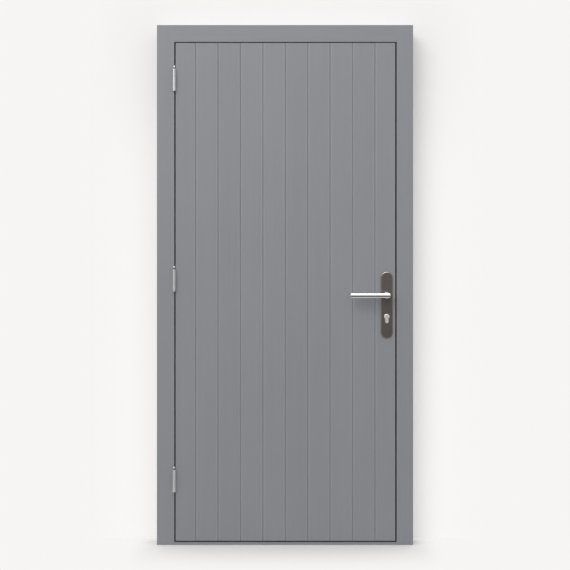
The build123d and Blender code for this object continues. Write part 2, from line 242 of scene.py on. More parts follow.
def shape(tree, kind, inputs=None, **settings):
    """The first output of a new geometry node."""
    return add_node(tree, "GeometryNode" + kind, inputs, **settings)[0]


def maths(tree, operation, first, second=0.0, clamp=False):
    """One sum on two numbers or sockets."""
    return shade(tree, "Math", {0: first, 1: second}, operation=operation, use_clamp=clamp)


def plus(tree, first, second):
    return maths(tree, "ADD", first, second)


def minus(tree, first, second):
    return maths(tree, "SUBTRACT", first, second)


def times(tree, first, second):
    return maths(tree, "MULTIPLY", first, second)


def ramp(tree, value, start, end, least=0.0, most=1.0, kind="SMOOTHSTEP"):
    """A number that runs from least to most as a value runs from start to end."""
    inputs = {"Value": value, "From Min": start, "From Max": end, "To Min": least, "To Max": most}
    return shade(tree, "MapRange", inputs, interpolation_type=kind)


def spread(tree, mask, least, most):
    """A mask from 0 to 1, spread over another range."""
    return ramp(tree, mask, 0.0, 1.0, least, most, "LINEAR")


def varied(tree, mask, amount):
    """A number near 1, that a mask makes smaller or larger by an amount."""
    return spread(tree, mask, 1 - amount, 1 + amount)


def point(tree, x=0.0, y=0.0, z=0.0):
    """A vector from three numbers or sockets."""
    return shade(tree, "CombineXYZ", {"X": x, "Y": y, "Z": z})


def axes(tree, place):
    """The three numbers of a vector, X, Y and Z."""
    return add_node(tree, "ShaderNodeSeparateXYZ", {0: place})


def new_tree(name, kind, inputs, outputs):
    """A node tree with its sockets' names listed by kind, and its own inputs and outputs."""
    tree = bpy.data.node_groups.new(name, kind + "NodeTree")
    for direction, sockets in (("INPUT", inputs), ("OUTPUT", outputs)):
        for socket_kind, names in sockets.items():
            for socket_name in names:
                tree.interface.new_socket(
                    socket_name, in_out=direction, socket_type="NodeSocket" + socket_kind
                )
    return tree, tree.nodes.new("NodeGroupInput").outputs, tree.nodes.new("NodeGroupOutput").inputs


def geometry_tree(name, inputs):
    """A tree that makes one geometry in one material."""
    inputs = {**inputs, "Material": ("Material",)}
    return new_tree(name, "Geometry", inputs, {"Geometry": ("Geometry",)})


def joined(tree, parts):
    """Several geometries as one."""
    made = tree.nodes.new("GeometryNodeJoinGeometry")
    for part in parts:
        tree.links.new(part, made.inputs[0])
    return made.outputs[0]


def moved(tree, made, translation=(0.0, 0.0, 0.0), rotation=(0.0, 0.0, 0.0)):
    """A geometry moved and turned."""
    inputs = {"Geometry": made, "Translation": translation, "Rotation": rotation}
    return shape(tree, "Transform", inputs)


def in_line(tree, made, count, step, start=(0.0, 0.0, 0.0)):
    """A geometry repeated along a straight line."""
    line = shape(tree, "MeshLine", {"Count": count, "Start Location": start, "Offset": step})
    return shape(tree, "InstanceOnPoints", {"Points": line, "Instance": made})


def end_tree(tree, made, given, result):
    """End a tree with real geometry in its material."""
    real = shape(tree, "RealizeInstances", {"Geometry": made})
    dressed = shape(tree, "SetMaterial", {"Geometry": real, "Material": given["Material"]})
    tree.links.new(dressed, result["Geometry"])
    return tree


# Shared surface effects


def streaks_group():
    """Fine lines drawn out along one axis, as a brush or an abrasive belt leaves them."""
    inputs = {"Vector": ("Vector", "Streak size"), "Float": ("Detail",)}
    tree, given, result = new_tree("Streaks", "Shader", inputs, {"Float": ("Value",)})
    scaled = {0: given["Vector"], 1: given["Streak size"]}
    scaled = shade(tree, "VectorMath", scaled, operation="DIVIDE")
    noise = {"Vector": scaled, "Scale": 1.0, "Detail": given["Detail"], "Roughness": 0.6}
    tree.links.new(shade(tree, "TexNoise", noise), result["Value"])


def smudges_group():
    """Soft uneven patches, as handling and weather leave them."""
    inputs = {"Vector": ("Vector",), "Float": ("Patch size",)}
    tree, given, result = new_tree("Smudges", "Shader", inputs, {"Float": ("Value",)})
    scale = maths(tree, "DIVIDE", 1.0, given["Patch size"])
    noise = {"Vector": given["Vector"], "Scale": scale, "Detail": 4.0, "Roughness": 0.55}
    tree.links.new(shade(tree, "TexNoise", noise), result["Value"])


def board_group():
    """A number of its own for each board, and a mask along its edges for a painted highlight."""
    tree, given, result = new_tree(
        "Board",
        "Shader",
        {"Vector": ("Vector",), "Float": ("First joint", "Pitch", "Groove", "Highlight width", "Front")},
        {"Float": ("Tone", "Painted highlight")},
    )
    place = axes(tree, given["Vector"])
    boards = maths(tree, "DIVIDE", minus(tree, place["X"], given["First joint"]), given["Pitch"])
    number = maths(tree, "FLOOR", boards)
    tone = shade(tree, "TexWhiteNoise", {"W": number}, noise_dimensions="1D")
    tree.links.new(tone, result["Tone"])
    from_joint = times(tree, maths(tree, "PINGPONG", boards, 0.5), given["Pitch"])
    from_flank = minus(tree, from_joint, given["Groove"])
    fading = ramp(tree, from_flank, given["Highlight width"], 0.0)
    past_groove = maths(tree, "GREATER_THAN", from_flank, 0.0)
    on_face = times(tree, past_groove, maths(tree, "LESS_THAN", place["Y"], given["Front"]))
    tree.links.new(times(tree, fading, on_face), result["Painted highlight"])


def joinery_group():
    """Turns the grain along the head and the sill, and draws their hairline joints."""
    tree, given, result = new_tree(
        "Joinery",
        "Shader",
        {"Vector": ("Vector",), "Float": ("Left", "Right", "Bottom", "Top", "Joint width")},
        {"Vector": ("Vector",), "Float": ("Joint",)},
    )
    x, y, z = axes(tree, given["Vector"])
    past_left = maths(tree, "GREATER_THAN", x, given["Left"])
    between = times(tree, past_left, maths(tree, "LESS_THAN", x, given["Right"]))
    above = maths(tree, "GREATER_THAN", z, given["Top"])
    outside = plus(tree, above, maths(tree, "LESS_THAN", z, given["Bottom"]))
    mixed = {0: times(tree, between, outside), 4: given["Vector"], 5: point(tree, z, y, x)}
    mixed = add_node(tree, "ShaderNodeMix", mixed, data_type="VECTOR")[1]
    from_sides = [
        maths(tree, "ABSOLUTE", minus(tree, x, given[side])) for side in ("Left", "Right")
    ]
    line = maths(tree, "LESS_THAN", maths(tree, "MINIMUM", *from_sides), given["Joint width"])
    tree.links.new(mixed, result["Vector"])
    tree.links.new(times(tree, line, outside), result["Joint"])


def effect(tree, name, inputs):
    """Place a shared effect in a material, with this material's own values."""
    return add_node(tree, "ShaderNodeGroup", inputs, node_tree=bpy.data.node_groups[name])


def streaks(tree, place, size, detail):
    return effect(tree, "Streaks", {"Vector": place, "Streak size": size, "Detail": detail})[0]


def smudges(tree, place, size):
    return effect(tree, "Smudges", {"Vector": place, "Patch size": size})[0]


# Finishes: sizes of their marks and depths of their relief, then how joints and painted highlights
# change them

BRUSH_MARKS = (1.1 * MM, 1.1 * MM, 90 * MM)
TIMBER_GRAIN = (7 * MM, 7 * MM, 420 * MM)
PAINT_PATCHES = 450 * MM
PAINT_RELIEF = 0.35 * MM
METAL_PATCHES = 18 * MM
PLATE_LINES = (0.35 * MM, 0.35 * MM, 30 * MM)
PLATE_LINE_DEPTH = 0.02 * MM
PLATE_PATCHES = 30 * MM
RUBBER_PATCHES = 20 * MM
RUBBER_BLOOM = 0.6 * MM
RUBBER_RELIEF = 0.05 * MM
KEYWAY_SHADE_MOTTLE = 1 * MM
JOINT_WIDTH = 0.12 * MM
JOINT_DARKER = 0.12
# Painted highlights: lighter paint beside the board grooves, and lighter, smoother metal along the
# plates' bevel
EDGE_HIGHLIGHT_LIGHTER = 0.22
BEVEL_HIGHLIGHT_START = 0.02
BEVEL_HIGHLIGHT_LIGHTER = 1.3
BEVEL_HIGHLIGHT_SMOOTHER = 0.25


def empty_tree(owner):
    """The node tree of a material or a world, emptied."""
    owner.use_nodes = True
    owner.node_tree.nodes.clear()
    return owner.node_tree


def new_material(name):
    """An empty material's tree, its Principled shader and its object coordinates."""
    tree = empty_tree(bpy.data.materials.new(name))
    shader = tree.nodes.new("ShaderNodeBsdfPrincipled")
    add_node(tree, "ShaderNodeOutputMaterial", {"Surface": shader.outputs[0]})
    return tree, shader, add_node(tree, "ShaderNodeTexCoord")["Object"]


def finish(name):
    """A finish by name."""
    return bpy.data.materials[name]


def tinted(tree, colour, brightness):
    """A colour made lighter or darker by a number near 1."""
    level = point(tree, brightness, brightness, brightness)
    return shade(tree, "VectorMath", {0: tuple(colour), 1: level}, operation="MULTIPLY")


def bump(tree, height, distance, strength):
    """A bump of a height in metres."""
    return shade(tree, "Bump", {"Height": height, "Distance": distance, "Strength": strength})


def paint_material(name, joinery):
    """Satin paint brushed along the timber, over grain that just shows through."""
    tree, shader, place = new_material(name)
    grain_place = place
    if joinery:
        edges = dict(zip(("Left", "Right", "Bottom", "Top"), REBATE))
        joints = effect(tree, "Joinery", {"Vector": place, "Joint width": JOINT_WIDTH, **edges})
        grain_place = joints["Vector"]
    brush = streaks(tree, grain_place, BRUSH_MARKS, 3.0)
    grain = streaks(tree, grain_place, TIMBER_GRAIN, 4.0)
    patches = smudges(tree, place, PAINT_PATCHES)
    brightness = times(tree, varied(tree, brush, 0.035), varied(tree, grain, 0.05))
    brightness = times(tree, brightness, varied(tree, patches, 0.04))
    if joinery:
        brightness = minus(tree, brightness, times(tree, joints["Joint"], JOINT_DARKER))
    else:
        board = effect(
            tree,
            "Board",
            {
                "Vector": place,
                "First joint": FIRST_JOINT,
                "Pitch": BOARD_PITCH,
                "Groove": sizes().groove_width + sizes().joint_gap / 2,
                "Highlight width": sizes().edge_highlight,
                "Front": FRONT + sizes().groove_depth / 2,
            },
        )
        brightness = times(tree, brightness, varied(tree, board["Tone"], 0.015))
        # Painted highlight: the face beside each groove is made lighter, patchy with the grain
        painted_highlight = times(tree, board["Painted highlight"], spread(tree, grain, 0.0, EDGE_HIGHLIGHT_LIGHTER))
        brightness = plus(tree, brightness, painted_highlight)
    relief = plus(tree, times(tree, brush, 0.35), grain)
    inputs = {
        "Base Color": tinted(tree, colours().paint, brightness),
        "Roughness": plus(tree, spread(tree, brush, 0.36, 0.46), spread(tree, patches, 0, 0.1)),
        "Normal": bump(tree, relief, PAINT_RELIEF, 0.5),
        "Specular IOR Level": 0.4,
    }
    feed(tree, shader, inputs)


def brushed_metal(name, colour, roughness, line_size, line_depth, tint=0.06):
    """A metal with fine lines along one axis, handled and a little uneven."""
    tree, shader, place = new_material(name)
    lines = streaks(tree, place, line_size, 2.0)
    patches = smudges(tree, place, METAL_PATCHES)
    brightness = times(tree, varied(tree, lines, tint), varied(tree, patches, 0.05))
    along_lines = spread(tree, lines, roughness - 0.05, roughness + 0.05)
    inputs = {
        "Base Color": tinted(tree, colour, brightness),
        "Roughness": plus(tree, along_lines, spread(tree, patches, -0.04, 0.06)),
        "Normal": bump(tree, lines, line_depth, 0.4),
        "Metallic": 1.0,
    }
    feed(tree, shader, inputs)


def dark_plate_material():
    """Dark metal, brushed upright, with a painted highlight along the bevel: lighter and smoother
    metal there.
    """
    tree, shader, place = new_material("worn_dark_plate")
    lines = streaks(tree, place, PLATE_LINES, 3.0)
    patches = smudges(tree, place, PLATE_PATCHES)
    depth = axes(tree, place)["Y"]
    bevel = sizes().plate_bevel
    rim = 0.0
    for face, outwards in ((low("outside_plate").y, -1), (high("inside_plate").y, 1)):
        below = times(tree, minus(tree, face, depth), outwards)
        past_face = maths(tree, "GREATER_THAN", below, BEVEL_HIGHLIGHT_START * bevel)
        rim = plus(tree, rim, times(tree, past_face, maths(tree, "LESS_THAN", below, bevel)))
    # Painted highlight: the bevel's metal is made lighter and smoother, in patches
    painted_highlight = times(tree, rim, spread(tree, patches, 0.4, 0.9))
    brightness = times(tree, varied(tree, lines, 0.12), varied(tree, patches, 0.1))
    brightness = plus(tree, brightness, times(tree, painted_highlight, BEVEL_HIGHLIGHT_LIGHTER))
    roughness = plus(tree, spread(tree, lines, 0.34, 0.44), spread(tree, patches, -0.05, 0.08))
    inputs = {
        "Base Color": tinted(tree, colours().plate, brightness),
        "Roughness": minus(tree, roughness, times(tree, painted_highlight, BEVEL_HIGHLIGHT_SMOOTHER)),
        "Normal": bump(tree, lines, PLATE_LINE_DEPTH, 0.35),
        "Metallic": 0.85,
    }
    feed(tree, shader, inputs)


def rubber_material():
    """Dull rubber with a faint bloom."""
    tree, shader, place = new_material("dull_rubber")
    patches = smudges(tree, place, RUBBER_PATCHES)
    fine = smudges(tree, place, RUBBER_BLOOM)
    brightness = times(tree, spread(tree, patches, 0.7, 1.5), varied(tree, fine, 0.15))
    inputs = {
        "Base Color": tinted(tree, colours().rubber, brightness),
        "Roughness": spread(tree, patches, 0.5, 0.7),
        "Normal": bump(tree, fine, RUBBER_RELIEF, 0.4),
    }
    feed(tree, shader, inputs)


def keyway_material():
    """The inside of the keyway, painted dark as its shade."""
    tree, shader, place = new_material("keyway_dark")
    fine = smudges(tree, place, KEYWAY_SHADE_MOTTLE)
    inputs = {
        "Base Color": tinted(tree, colours().keyway, varied(tree, fine, 0.4)),
        "Roughness": spread(tree, fine, 0.45, 0.65),
        "Metallic": 0.6,
    }
    feed(tree, shader, inputs)


# Meshes. Points nearer than the merge distance become one.

MERGE_DISTANCE = 0.001 * MM
FLAT_ANGLE = math.radians(1)
EDGE_ANGLE = math.radians(30)
SHADING_ANGLE = math.radians(35)


def eased(points, radius, steps=4, closed=False):
    """Round the corners of a flat line. radius is one number, or one for each corner."""
    rounded = []
    count = len(points)
    for number, corner in enumerate(points):
        corner_radius = radius[number] if isinstance(radius, (list, tuple)) else radius
        is_end = not closed and number in (0, count - 1)
        if is_end or corner_radius == 0:
            rounded.append(tuple(corner))
            continue
        here = Vector(corner)
        to_before = Vector(points[number - 1]) - here
        to_after = Vector(points[(number + 1) % count]) - here
        reach = min(corner_radius, to_before.length / 2, to_after.length / 2)
        start = here + to_before.normalized() * reach
        end = here + to_after.normalized() * reach
        for step in range(steps + 1):
            share = step / steps
            near_corner = here * 2 * share * (1 - share)
            rounded.append(tuple(start * (1 - share) ** 2 + near_corner + end * share**2))
    return rounded


def arc(centre, radius, start, end, steps):
    """Points along a flat arc between two angles."""
    angles = [start + (end - start) * step / steps for step in range(steps + 1)]
    return [
        (centre[0] + radius * math.cos(angle), centre[1] + radius * math.sin(angle))
        for angle in angles
    ]


def skin(rings, closed=False):
    """A shell of quads between rings of points. An open run of rings has its ends filled."""
    size = len(rings[0])
    points = [place for ring in rings for place in ring]
    faces = []
    for level in range(len(rings) if closed else len(rings) - 1):
        near = level * size
        far = (level + 1) % len(rings) * size
        for step in range(size):
            after = (step + 1) % size
            faces.append((near + step, near + after, far + after, far + step))
    if not closed:
        faces.append(tuple(range(size)))
        faces.append(tuple(range(len(points) - size, len(points))))
    return points, faces


def prism(outline, low_z, high_z):
    """An upright shell with a flat outline of (x, y) points."""
    return skin([[(x, y, z) for x, y in outline] for z in (low_z, high_z)])


def across(outline, low_y, high_y):
    """A shell through the door, with a flat outline of (x, z) points."""
    return skin([[(x, y, z) for x, z in outline] for y in (low_y, high_y)])


def block(near, far):
    """A rectangular shell between two opposite corners."""
    outline = ((near[0], near[1]), (far[0], near[1]), (far[0], far[1]), (near[0], far[1]))
    return prism(outline, near[2], far[2])


def ring_round(centre, first, second, radius, steps):
    """A ring of points round a centre, in the plane of two directions."""
    ring = []
    for step in range(steps):
        angle = 2 * math.pi * step / steps
        reach = first * math.cos(angle) + second * math.sin(angle)
        ring.append(tuple(centre + reach * radius))
    return ring


def turned(profile, centre, axis, steps=48, closed=False):
    """A shell turned from (radius, distance) pairs round an axis through a centre."""
    along = Vector(axis)
    first = along.orthogonal().normalized()
    second = along.cross(first)
    rings = [
        ring_round(Vector(centre) + along * distance, first, second, radius, steps)
        for radius, distance in profile
    ]
    return skin(rings, closed)


def spindle_bore(radius, low_y, high_y, steps=48):
    """A round hole about the spindle's line."""
    profile = ((radius, low_y - SPARE), (radius, high_y + SPARE))
    return turned(profile, (SPINDLE_X, 0, SPINDLE_Z), (0, 1, 0), steps)


def shells_mesh(name, shells):
    """One mesh from closed shells, with doubles merged and faces outwards."""
    made = bmesh.new()
    for points, faces in shells:
        corners = [made.verts.new(place) for place in points]
        for face in faces:
            made.faces.new([corners[number] for number in face])
    bmesh.ops.remove_doubles(made, verts=made.verts, dist=MERGE_DISTANCE)
    bmesh.ops.dissolve_degenerate(made, edges=made.edges, dist=MERGE_DISTANCE)
    bmesh.ops.recalc_face_normals(made, faces=made.faces)
    return mesh_from(made, name)


def softened_mesh(name, node, width):
    """A copy of a solid's mesh with its flat faces made whole and its edges rounded."""
    made = bmesh.new()
    made.from_mesh(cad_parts[node].data)
    bmesh.ops.remove_doubles(made, verts=made.verts, dist=2 * MERGE_DISTANCE)
    bmesh.ops.dissolve_limit(made, angle_limit=FLAT_ANGLE, verts=made.verts, edges=made.edges)
    sharp = [
        edge
        for edge in made.edges
        if len(edge.link_faces) == 2 and edge.calc_face_angle() > EDGE_ANGLE
    ]
    bmesh.ops.bevel(
        made,
        geom=sharp,
        offset=width,
        offset_type="OFFSET",
        segments=2,
        profile=0.5,
        affect="EDGES",
        clamp_overlap=True,
    )
    return mesh_from(made, name)


def mesh_from(made, name):
    """The finished mesh, in place of what it was built in."""
    mesh = bpy.data.meshes.new(name)
    made.to_mesh(mesh)
    made.free()
    return mesh


def new_object(name, content):
    """An object for a mesh, a lamp or a camera, at the origin, in the scene."""
    made = bpy.data.objects.new(name, content)
    bpy.context.scene.collection.objects.link(made)
    return made


def plain_mesh(made):
    """Swap an object's mesh for what its modifiers make of it, and remove them."""
    view = bpy.context.evaluated_depsgraph_get()
    result = bpy.data.meshes.new_from_object(made.evaluated_get(view), depsgraph=view)
    made.modifiers.clear()
    made.data = result


def cut(made, shells):
    """Cut closed shells out of an object, one after another."""
    for shell in shells:
        cutter = new_object("cutter", shells_mesh("cutter", [shell]))
        modifier = made.modifiers.new("Cut", "BOOLEAN")
        modifier.operation = "DIFFERENCE"
        modifier.solver = "EXACT"
        modifier.object = cutter
        plain_mesh(made)
        bpy.data.objects.remove(cutter)


def finish_piece(made, material, body, slot, replaced=()):
    """Shade a piece, give it its finish, and set it on its body in place of its nodes."""
    made.data.materials.clear()
    made.data.materials.append(finish(material))
    made.data.shade_smooth()
    made.data.set_sharp_from_angle(angle=SHADING_ANGLE)
    weighted = made.modifiers.new("Even shading", "WEIGHTED_NORMAL")
    weighted.keep_sharp = True
    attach(made, body)
    if replaced:
        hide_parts(*replaced)


def add_piece(name, shells, material, body, slot, replaced=(), cutters=()):
    """Make a finished piece from closed shells."""
    made = new_object(name, shells_mesh(name, shells))
    cut(made, cutters)
    finish_piece(made, material, body, slot, replaced)


def run_tree(name, tree, values, material, body, slot, replaced=()):
    """Make a finished piece from what a node tree makes of named values."""
    values = {**values, "Material": finish(material)}
    made = new_object(name, bpy.data.meshes.new(name))
    modifier = made.modifiers.new(tree.name, "NODES")
    modifier.node_group = tree
    for item in tree.interface.items_tree:
        if item.item_type == "SOCKET" and item.name in values:
            modifier[item.identifier] = values[item.name]
    plain_mesh(made)
    finish_piece(made, material, body, slot, replaced)


# The leaf's boards: corners as named places across and through a board, front left first

BOARD_CORNERS = (
    ("left_flank", "front"),
    ("right_flank", "front"),
    ("right", "right_depth"),
    ("right", "tongue_front"),
    ("tongue", "tongue_front"),
    ("tongue", "tongue_back"),
    ("right", "tongue_back"),
    ("right", "back"),
    ("left", "back"),
    ("left", "slot_back"),
    ("slot", "slot_back"),
    ("slot", "slot_front"),
    ("left", "slot_front"),
    ("left", "left_depth"),
)
ROUNDED_CORNERS = (0, 1, 2, 13)


def board_run_tree():
    """A row of equal boards, bevelled, tongued and grooved, side by side along X."""
    lengths = ("Pitch", "Thickness", "Height", "Joint gap", "Groove width", "Groove depth")
    lengths += ("Arris", "Tongue length", "Tongue thickness", "Tongue clearance")
    inputs = {"Vector": ("Start",), "Int": ("Count",), "Float": lengths}
    tree, given, result = geometry_tree("Board run", inputs)
    half_gap = times(tree, given["Joint gap"], 0.5)
    right = minus(tree, given["Pitch"], half_gap)
    tongue_middle = times(tree, plus(tree, given["Groove depth"], given["Thickness"]), 0.5)
    half_tongue = times(tree, given["Tongue thickness"], 0.5)
    half_slot = plus(tree, half_tongue, given["Tongue clearance"])
    across_board = {
        "left": half_gap,
        "left_flank": plus(tree, half_gap, given["Groove width"]),
        "right_flank": minus(tree, right, given["Groove width"]),
        "right": right,
        "tongue": plus(tree, given["Pitch"], given["Tongue length"]),
        "slot": plus(tree, given["Tongue length"], given["Tongue clearance"]),
    }
    through_board = {
        "front": 0.0,
        "left_depth": given["Groove depth"],
        "right_depth": given["Groove depth"],
        "tongue_front": minus(tree, tongue_middle, half_tongue),
        "tongue_back": plus(tree, tongue_middle, half_tongue),
        "slot_front": minus(tree, tongue_middle, half_slot),
        "slot_back": plus(tree, tongue_middle, half_slot),
        "back": given["Thickness"],
    }
    number = shape(tree, "InputIndex")
    switches = []
    for kind in ("VECTOR", "FLOAT"):
        switch = tree.nodes.new("GeometryNodeIndexSwitch")
        switch.data_type = kind
        for extra in range(len(BOARD_CORNERS) - 2):
            switch.index_switch_items.new()
        tree.links.new(number, switch.inputs["Index"])
        switches.append(switch)
    places, radii = switches
    for corner, (x_name, y_name) in enumerate(BOARD_CORNERS):
        place = point(tree, across_board[x_name], through_board[y_name])
        tree.links.new(place, places.inputs[corner + 1])
        if corner in ROUNDED_CORNERS:
            tree.links.new(given["Arris"], radii.inputs[corner + 1])
    ring = {"Resolution": len(BOARD_CORNERS), "Radius": 1.0}
    ring = shape(tree, "CurvePrimitiveCircle", ring)
    outline = shape(tree, "SetPosition", {"Geometry": ring, "Position": places.outputs[0]})
    rounded = {"Curve": outline, "Radius": radii.outputs[0], "Count": 3}
    rounded = shape(tree, "FilletCurve", rounded, mode="POLY")
    foot = shape(tree, "FillCurve", {"Curve": rounded}, mode="NGONS")
    upwards = {"Offset": point(tree, z=1.0), "Offset Scale": given["Height"]}
    raised = {"Mesh": foot, "Individual": False, **upwards}
    raised = shape(tree, "ExtrudeMesh", raised, mode="FACES")
    board = joined(tree, (raised, shape(tree, "FlipFaces", {"Mesh": foot})))
    board = shape(tree, "MergeByDistance", {"Geometry": board, "Distance": MERGE_DISTANCE})
    boards = in_line(tree, board, given["Count"], point(tree, given["Pitch"]), given["Start"])
    return end_tree(tree, boards, given, result)


def edge_board_outline(left, right, free_side):
    """The section of an outermost board, with one plain edge."""
    gap = sizes().joint_gap / 2
    arris = sizes().board_arris
    groove = (sizes().groove_width, sizes().groove_depth)
    plain = (arris, arris)
    if free_side == "right":
        left_face, right_face = left + gap, right
        left_bevel, right_bevel = groove, plain
        left_out = ("tongue_front", "tongue_back")
    else:
        left_face, right_face = left, right - gap
        left_bevel, right_bevel = plain, groove
        left_out = ("slot_front", "slot_back")
    tongue_middle = (FRONT + groove[1] + BOARD_BACK) / 2
    half_tongue = TONGUE_THICKNESS / 2
    half_slot = half_tongue + TONGUE_CLEARANCE
    across_board = {
        "left": left_face,
        "left_flank": left_face + left_bevel[0],
        "right_flank": right_face - right_bevel[0],
        "right": right_face,
        "tongue": right + TONGUE_LENGTH,
        "slot": left + TONGUE_LENGTH + TONGUE_CLEARANCE,
    }
    through_board = {
        "front": FRONT,
        "left_depth": FRONT + left_bevel[1],
        "right_depth": FRONT + right_bevel[1],
        "tongue_front": tongue_middle - half_tongue,
        "tongue_back": tongue_middle + half_tongue,
        "slot_front": tongue_middle - half_slot,
        "slot_back": tongue_middle + half_slot,
        "back": BOARD_BACK,
    }
    corners = [pair for pair in BOARD_CORNERS if pair[1] not in left_out]
    radii = [arris if BOARD_CORNERS.index(pair) in ROUNDED_CORNERS else 0 for pair in corners]
    outline = [(across_board[x_name], through_board[y_name]) for x_name, y_name in corners]
    return eased(outline, radii, steps=3, closed=True)


def hinge_seats(edge_x, side):
    """The seats of the hinge plates in an edge at edge_x, towards side."""
    near_x, far_x = sorted((edge_x - side * SPARE, edge_x + side * HINGE_THICKNESS))
    seats = []
    for place in PLACES:
        near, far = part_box(f"{place}_hinge_frame_plate")
        seats.append(block((near_x, FRONT - SPARE, near.z), (far_x, far.y, far.z)))
    return seats


def lock_openings():
    """The faceplate's seat, the mortise and the holes across the leaf."""
    near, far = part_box("lock_case")
    half_case = CASE_THICKNESS / 2
    barrel_near, barrel_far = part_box("lock_cylinder")
    slot_reach = CYLINDER_RADIUS + CYLINDER_CLEARANCE
    return [
        block(
            (LEAF_RIGHT - FACEPLATE_THICKNESS, near.y, near.z),
            (LEAF_RIGHT + SPARE, far.y, far.z),
        ),
        block(
            (near.x, LEAF_MIDDLE_Y - half_case, near.z + FACEPLATE_OVERHANG),
            (LEAF_RIGHT, LEAF_MIDDLE_Y + half_case, far.z - FACEPLATE_OVERHANG),
        ),
        spindle_bore(SPINDLE_HOLE_RADIUS, FRONT, LEAF_BACK, 32),
        block(
            (SPINDLE_X - slot_reach, FRONT - SPARE, barrel_near.z - CYLINDER_CLEARANCE),
            (SPINDLE_X + slot_reach, LEAF_BACK + SPARE, barrel_far.z + CYLINDER_CLEARANCE),
        ),
    ]


class DOOR_OT_finishes(bpy.types.Operator):
    """Mix the paint, the metals and the rubber"""

    bl_idname = "door.finishes"
    bl_label = "Mix finishes"

    def execute(self, context):
        for make in (streaks_group, smudges_group, board_group, joinery_group):
            make()
        paint_material("leaf_paint", joinery=False)
        paint_material("frame_paint", joinery=True)
        dark_plate_material()
        rubber_material()
        keyway_material()
        upright = (0.3 * MM, 0.3 * MM, 25 * MM)
        level = (25 * MM, 0.3 * MM, 0.3 * MM)
        grains = (1 * MM, 1 * MM, 1 * MM)
        brushed_metal("satin_steel", colours().steel, 0.09, level, 0.01 * MM)
        brushed_metal("hinge_zinc", colours().zinc, 0.50, upright, 0.03 * MM, tint=0.1)
        brushed_metal("screw_zinc", colours().screw, 0.38, grains, 0.02 * MM)
        brushed_metal("brushed_steel", colours().steel, 0.32, upright, 0.02 * MM)
        brushed_metal("satin_nickel", colours().nickel, 0.44, grains, 0.01 * MM)
        brushed_metal("bright_nickel", colours().nickel, 0.16, grains, 0.005 * MM)
        return {"FINISHED"}


class DOOR_OT_frame_timber(bpy.types.Operator):
    """Make the rebated frame as one run of painted timber with eased edges"""

    bl_idname = "door.frame_timber"
    bl_label = "Make frame timber"

    def execute(self, context):
        arris = sizes().timber_arris
        corners = (
            (OUTER, FRONT, arris),
            (REBATE, FRONT, arris),
            (REBATE, STOP_FRONT, 0),
            (STOP, STOP_FRONT, arris),
            (STOP, BACK, arris),
            (OUTER, BACK, arris),
        )
        hinge_member = [(edges[0], y) for edges, y, radius in corners]
        radii = [radius for edges, y, radius in corners]
        rings = []
        for x, y in eased(hinge_member, radii, closed=True):
            left, right, bottom, top = min(
                (OUTER, REBATE, STOP), key=lambda edges: abs(edges[0] - x)
            )
            offset = x - left
            low_z, high_z = bottom + offset, top - offset
            sides = ((x, low_z), (right - offset, low_z), (right - offset, high_z), (x, high_z))
            rings.append([(side_x, y, z) for side_x, z in sides])
        near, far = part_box("strike_plate")
        cutters = hinge_seats(REBATE[0], -1)
        cutters.append(block((REBATE[1] - SPARE, near.y, near.z), tuple(far)))
        half_case = CASE_THICKNESS / 2
        for bolt, height in STRIKE_HOLE_HEIGHTS.items():
            low_z = middle(bolt).z - height / 2
            cutters.append(
                block(
                    (REBATE[1] - SPARE, LEAF_MIDDLE_Y - half_case, low_z),
                    (REBATE[1] + STRIKE_POCKET_DEPTH, LEAF_MIDDLE_Y + half_case, low_z + height),
                )
            )
        bore = ((FIXING_HOLE_RADIUS, 0), (FIXING_HOLE_RADIUS, FIXING_BORE_LENGTH))
        for wall_x, side in ((OUTER[0] - FIXING_BORE_LEAD, 1), (OUTER[1] + FIXING_BORE_LEAD, -1)):
            for number in range(FIXING_HOLES):
                centre = (wall_x, LEAF_MIDDLE_Y, FIXING_HOLE_RISE + number * FIXING_HOLE_SPACING)
                cutters.append(turned(bore, centre, (side, 0, 0), steps=24))
        members = ("hinge_jamb", "lock_jamb", "head", "sill")
        add_piece(
            "frame_timber", [skin(rings, closed=True)], "frame_paint", "frame", "painted_timber",
            members, cutters,
        )
        return {"FINISHED"}


class DOOR_OT_boards(bpy.types.Operator):
    """Make the leaf's ten boards"""

    bl_idname = "door.boards"
    bl_label = "Make boards"

    def execute(self, context):
        values = {
            "Start": (FIRST_JOINT, FRONT, LEAF_BOTTOM),
            "Pitch": BOARD_PITCH,
            "Thickness": BOARD_BACK - FRONT,
            "Height": LEAF_TOP - LEAF_BOTTOM,
            "Count": FULL_BOARDS,
            "Joint gap": sizes().joint_gap,
            "Groove width": sizes().groove_width,
            "Groove depth": sizes().groove_depth,
            "Arris": sizes().board_arris,
            "Tongue length": TONGUE_LENGTH,
            "Tongue thickness": TONGUE_THICKNESS,
            "Tongue clearance": TONGUE_CLEARANCE,
        }
        finished = ("leaf_paint", "leaf", "painted_timber")
        replaced = [f"board_{number:02d}" for number in range(2, FULL_BOARDS + 2)]
        run_tree("leaf_boards", board_run_tree(), values, *finished, replaced)
        seats = hinge_seats(LEAF_LEFT, 1)
        for name, node, left, right, free_side, cutters in (
            ("hinge_edge_board", "board_01", LEAF_LEFT, FIRST_JOINT, "left", seats),
            ("lock_edge_board", "board_10", LAST_JOINT, LEAF_RIGHT, "right", lock_openings()),
        ):
            board = prism(edge_board_outline(left, right, free_side), LEAF_BOTTOM, LEAF_TOP)
            add_piece(name, [board], *finished, (node,), cutters)
        return {"FINISHED"}


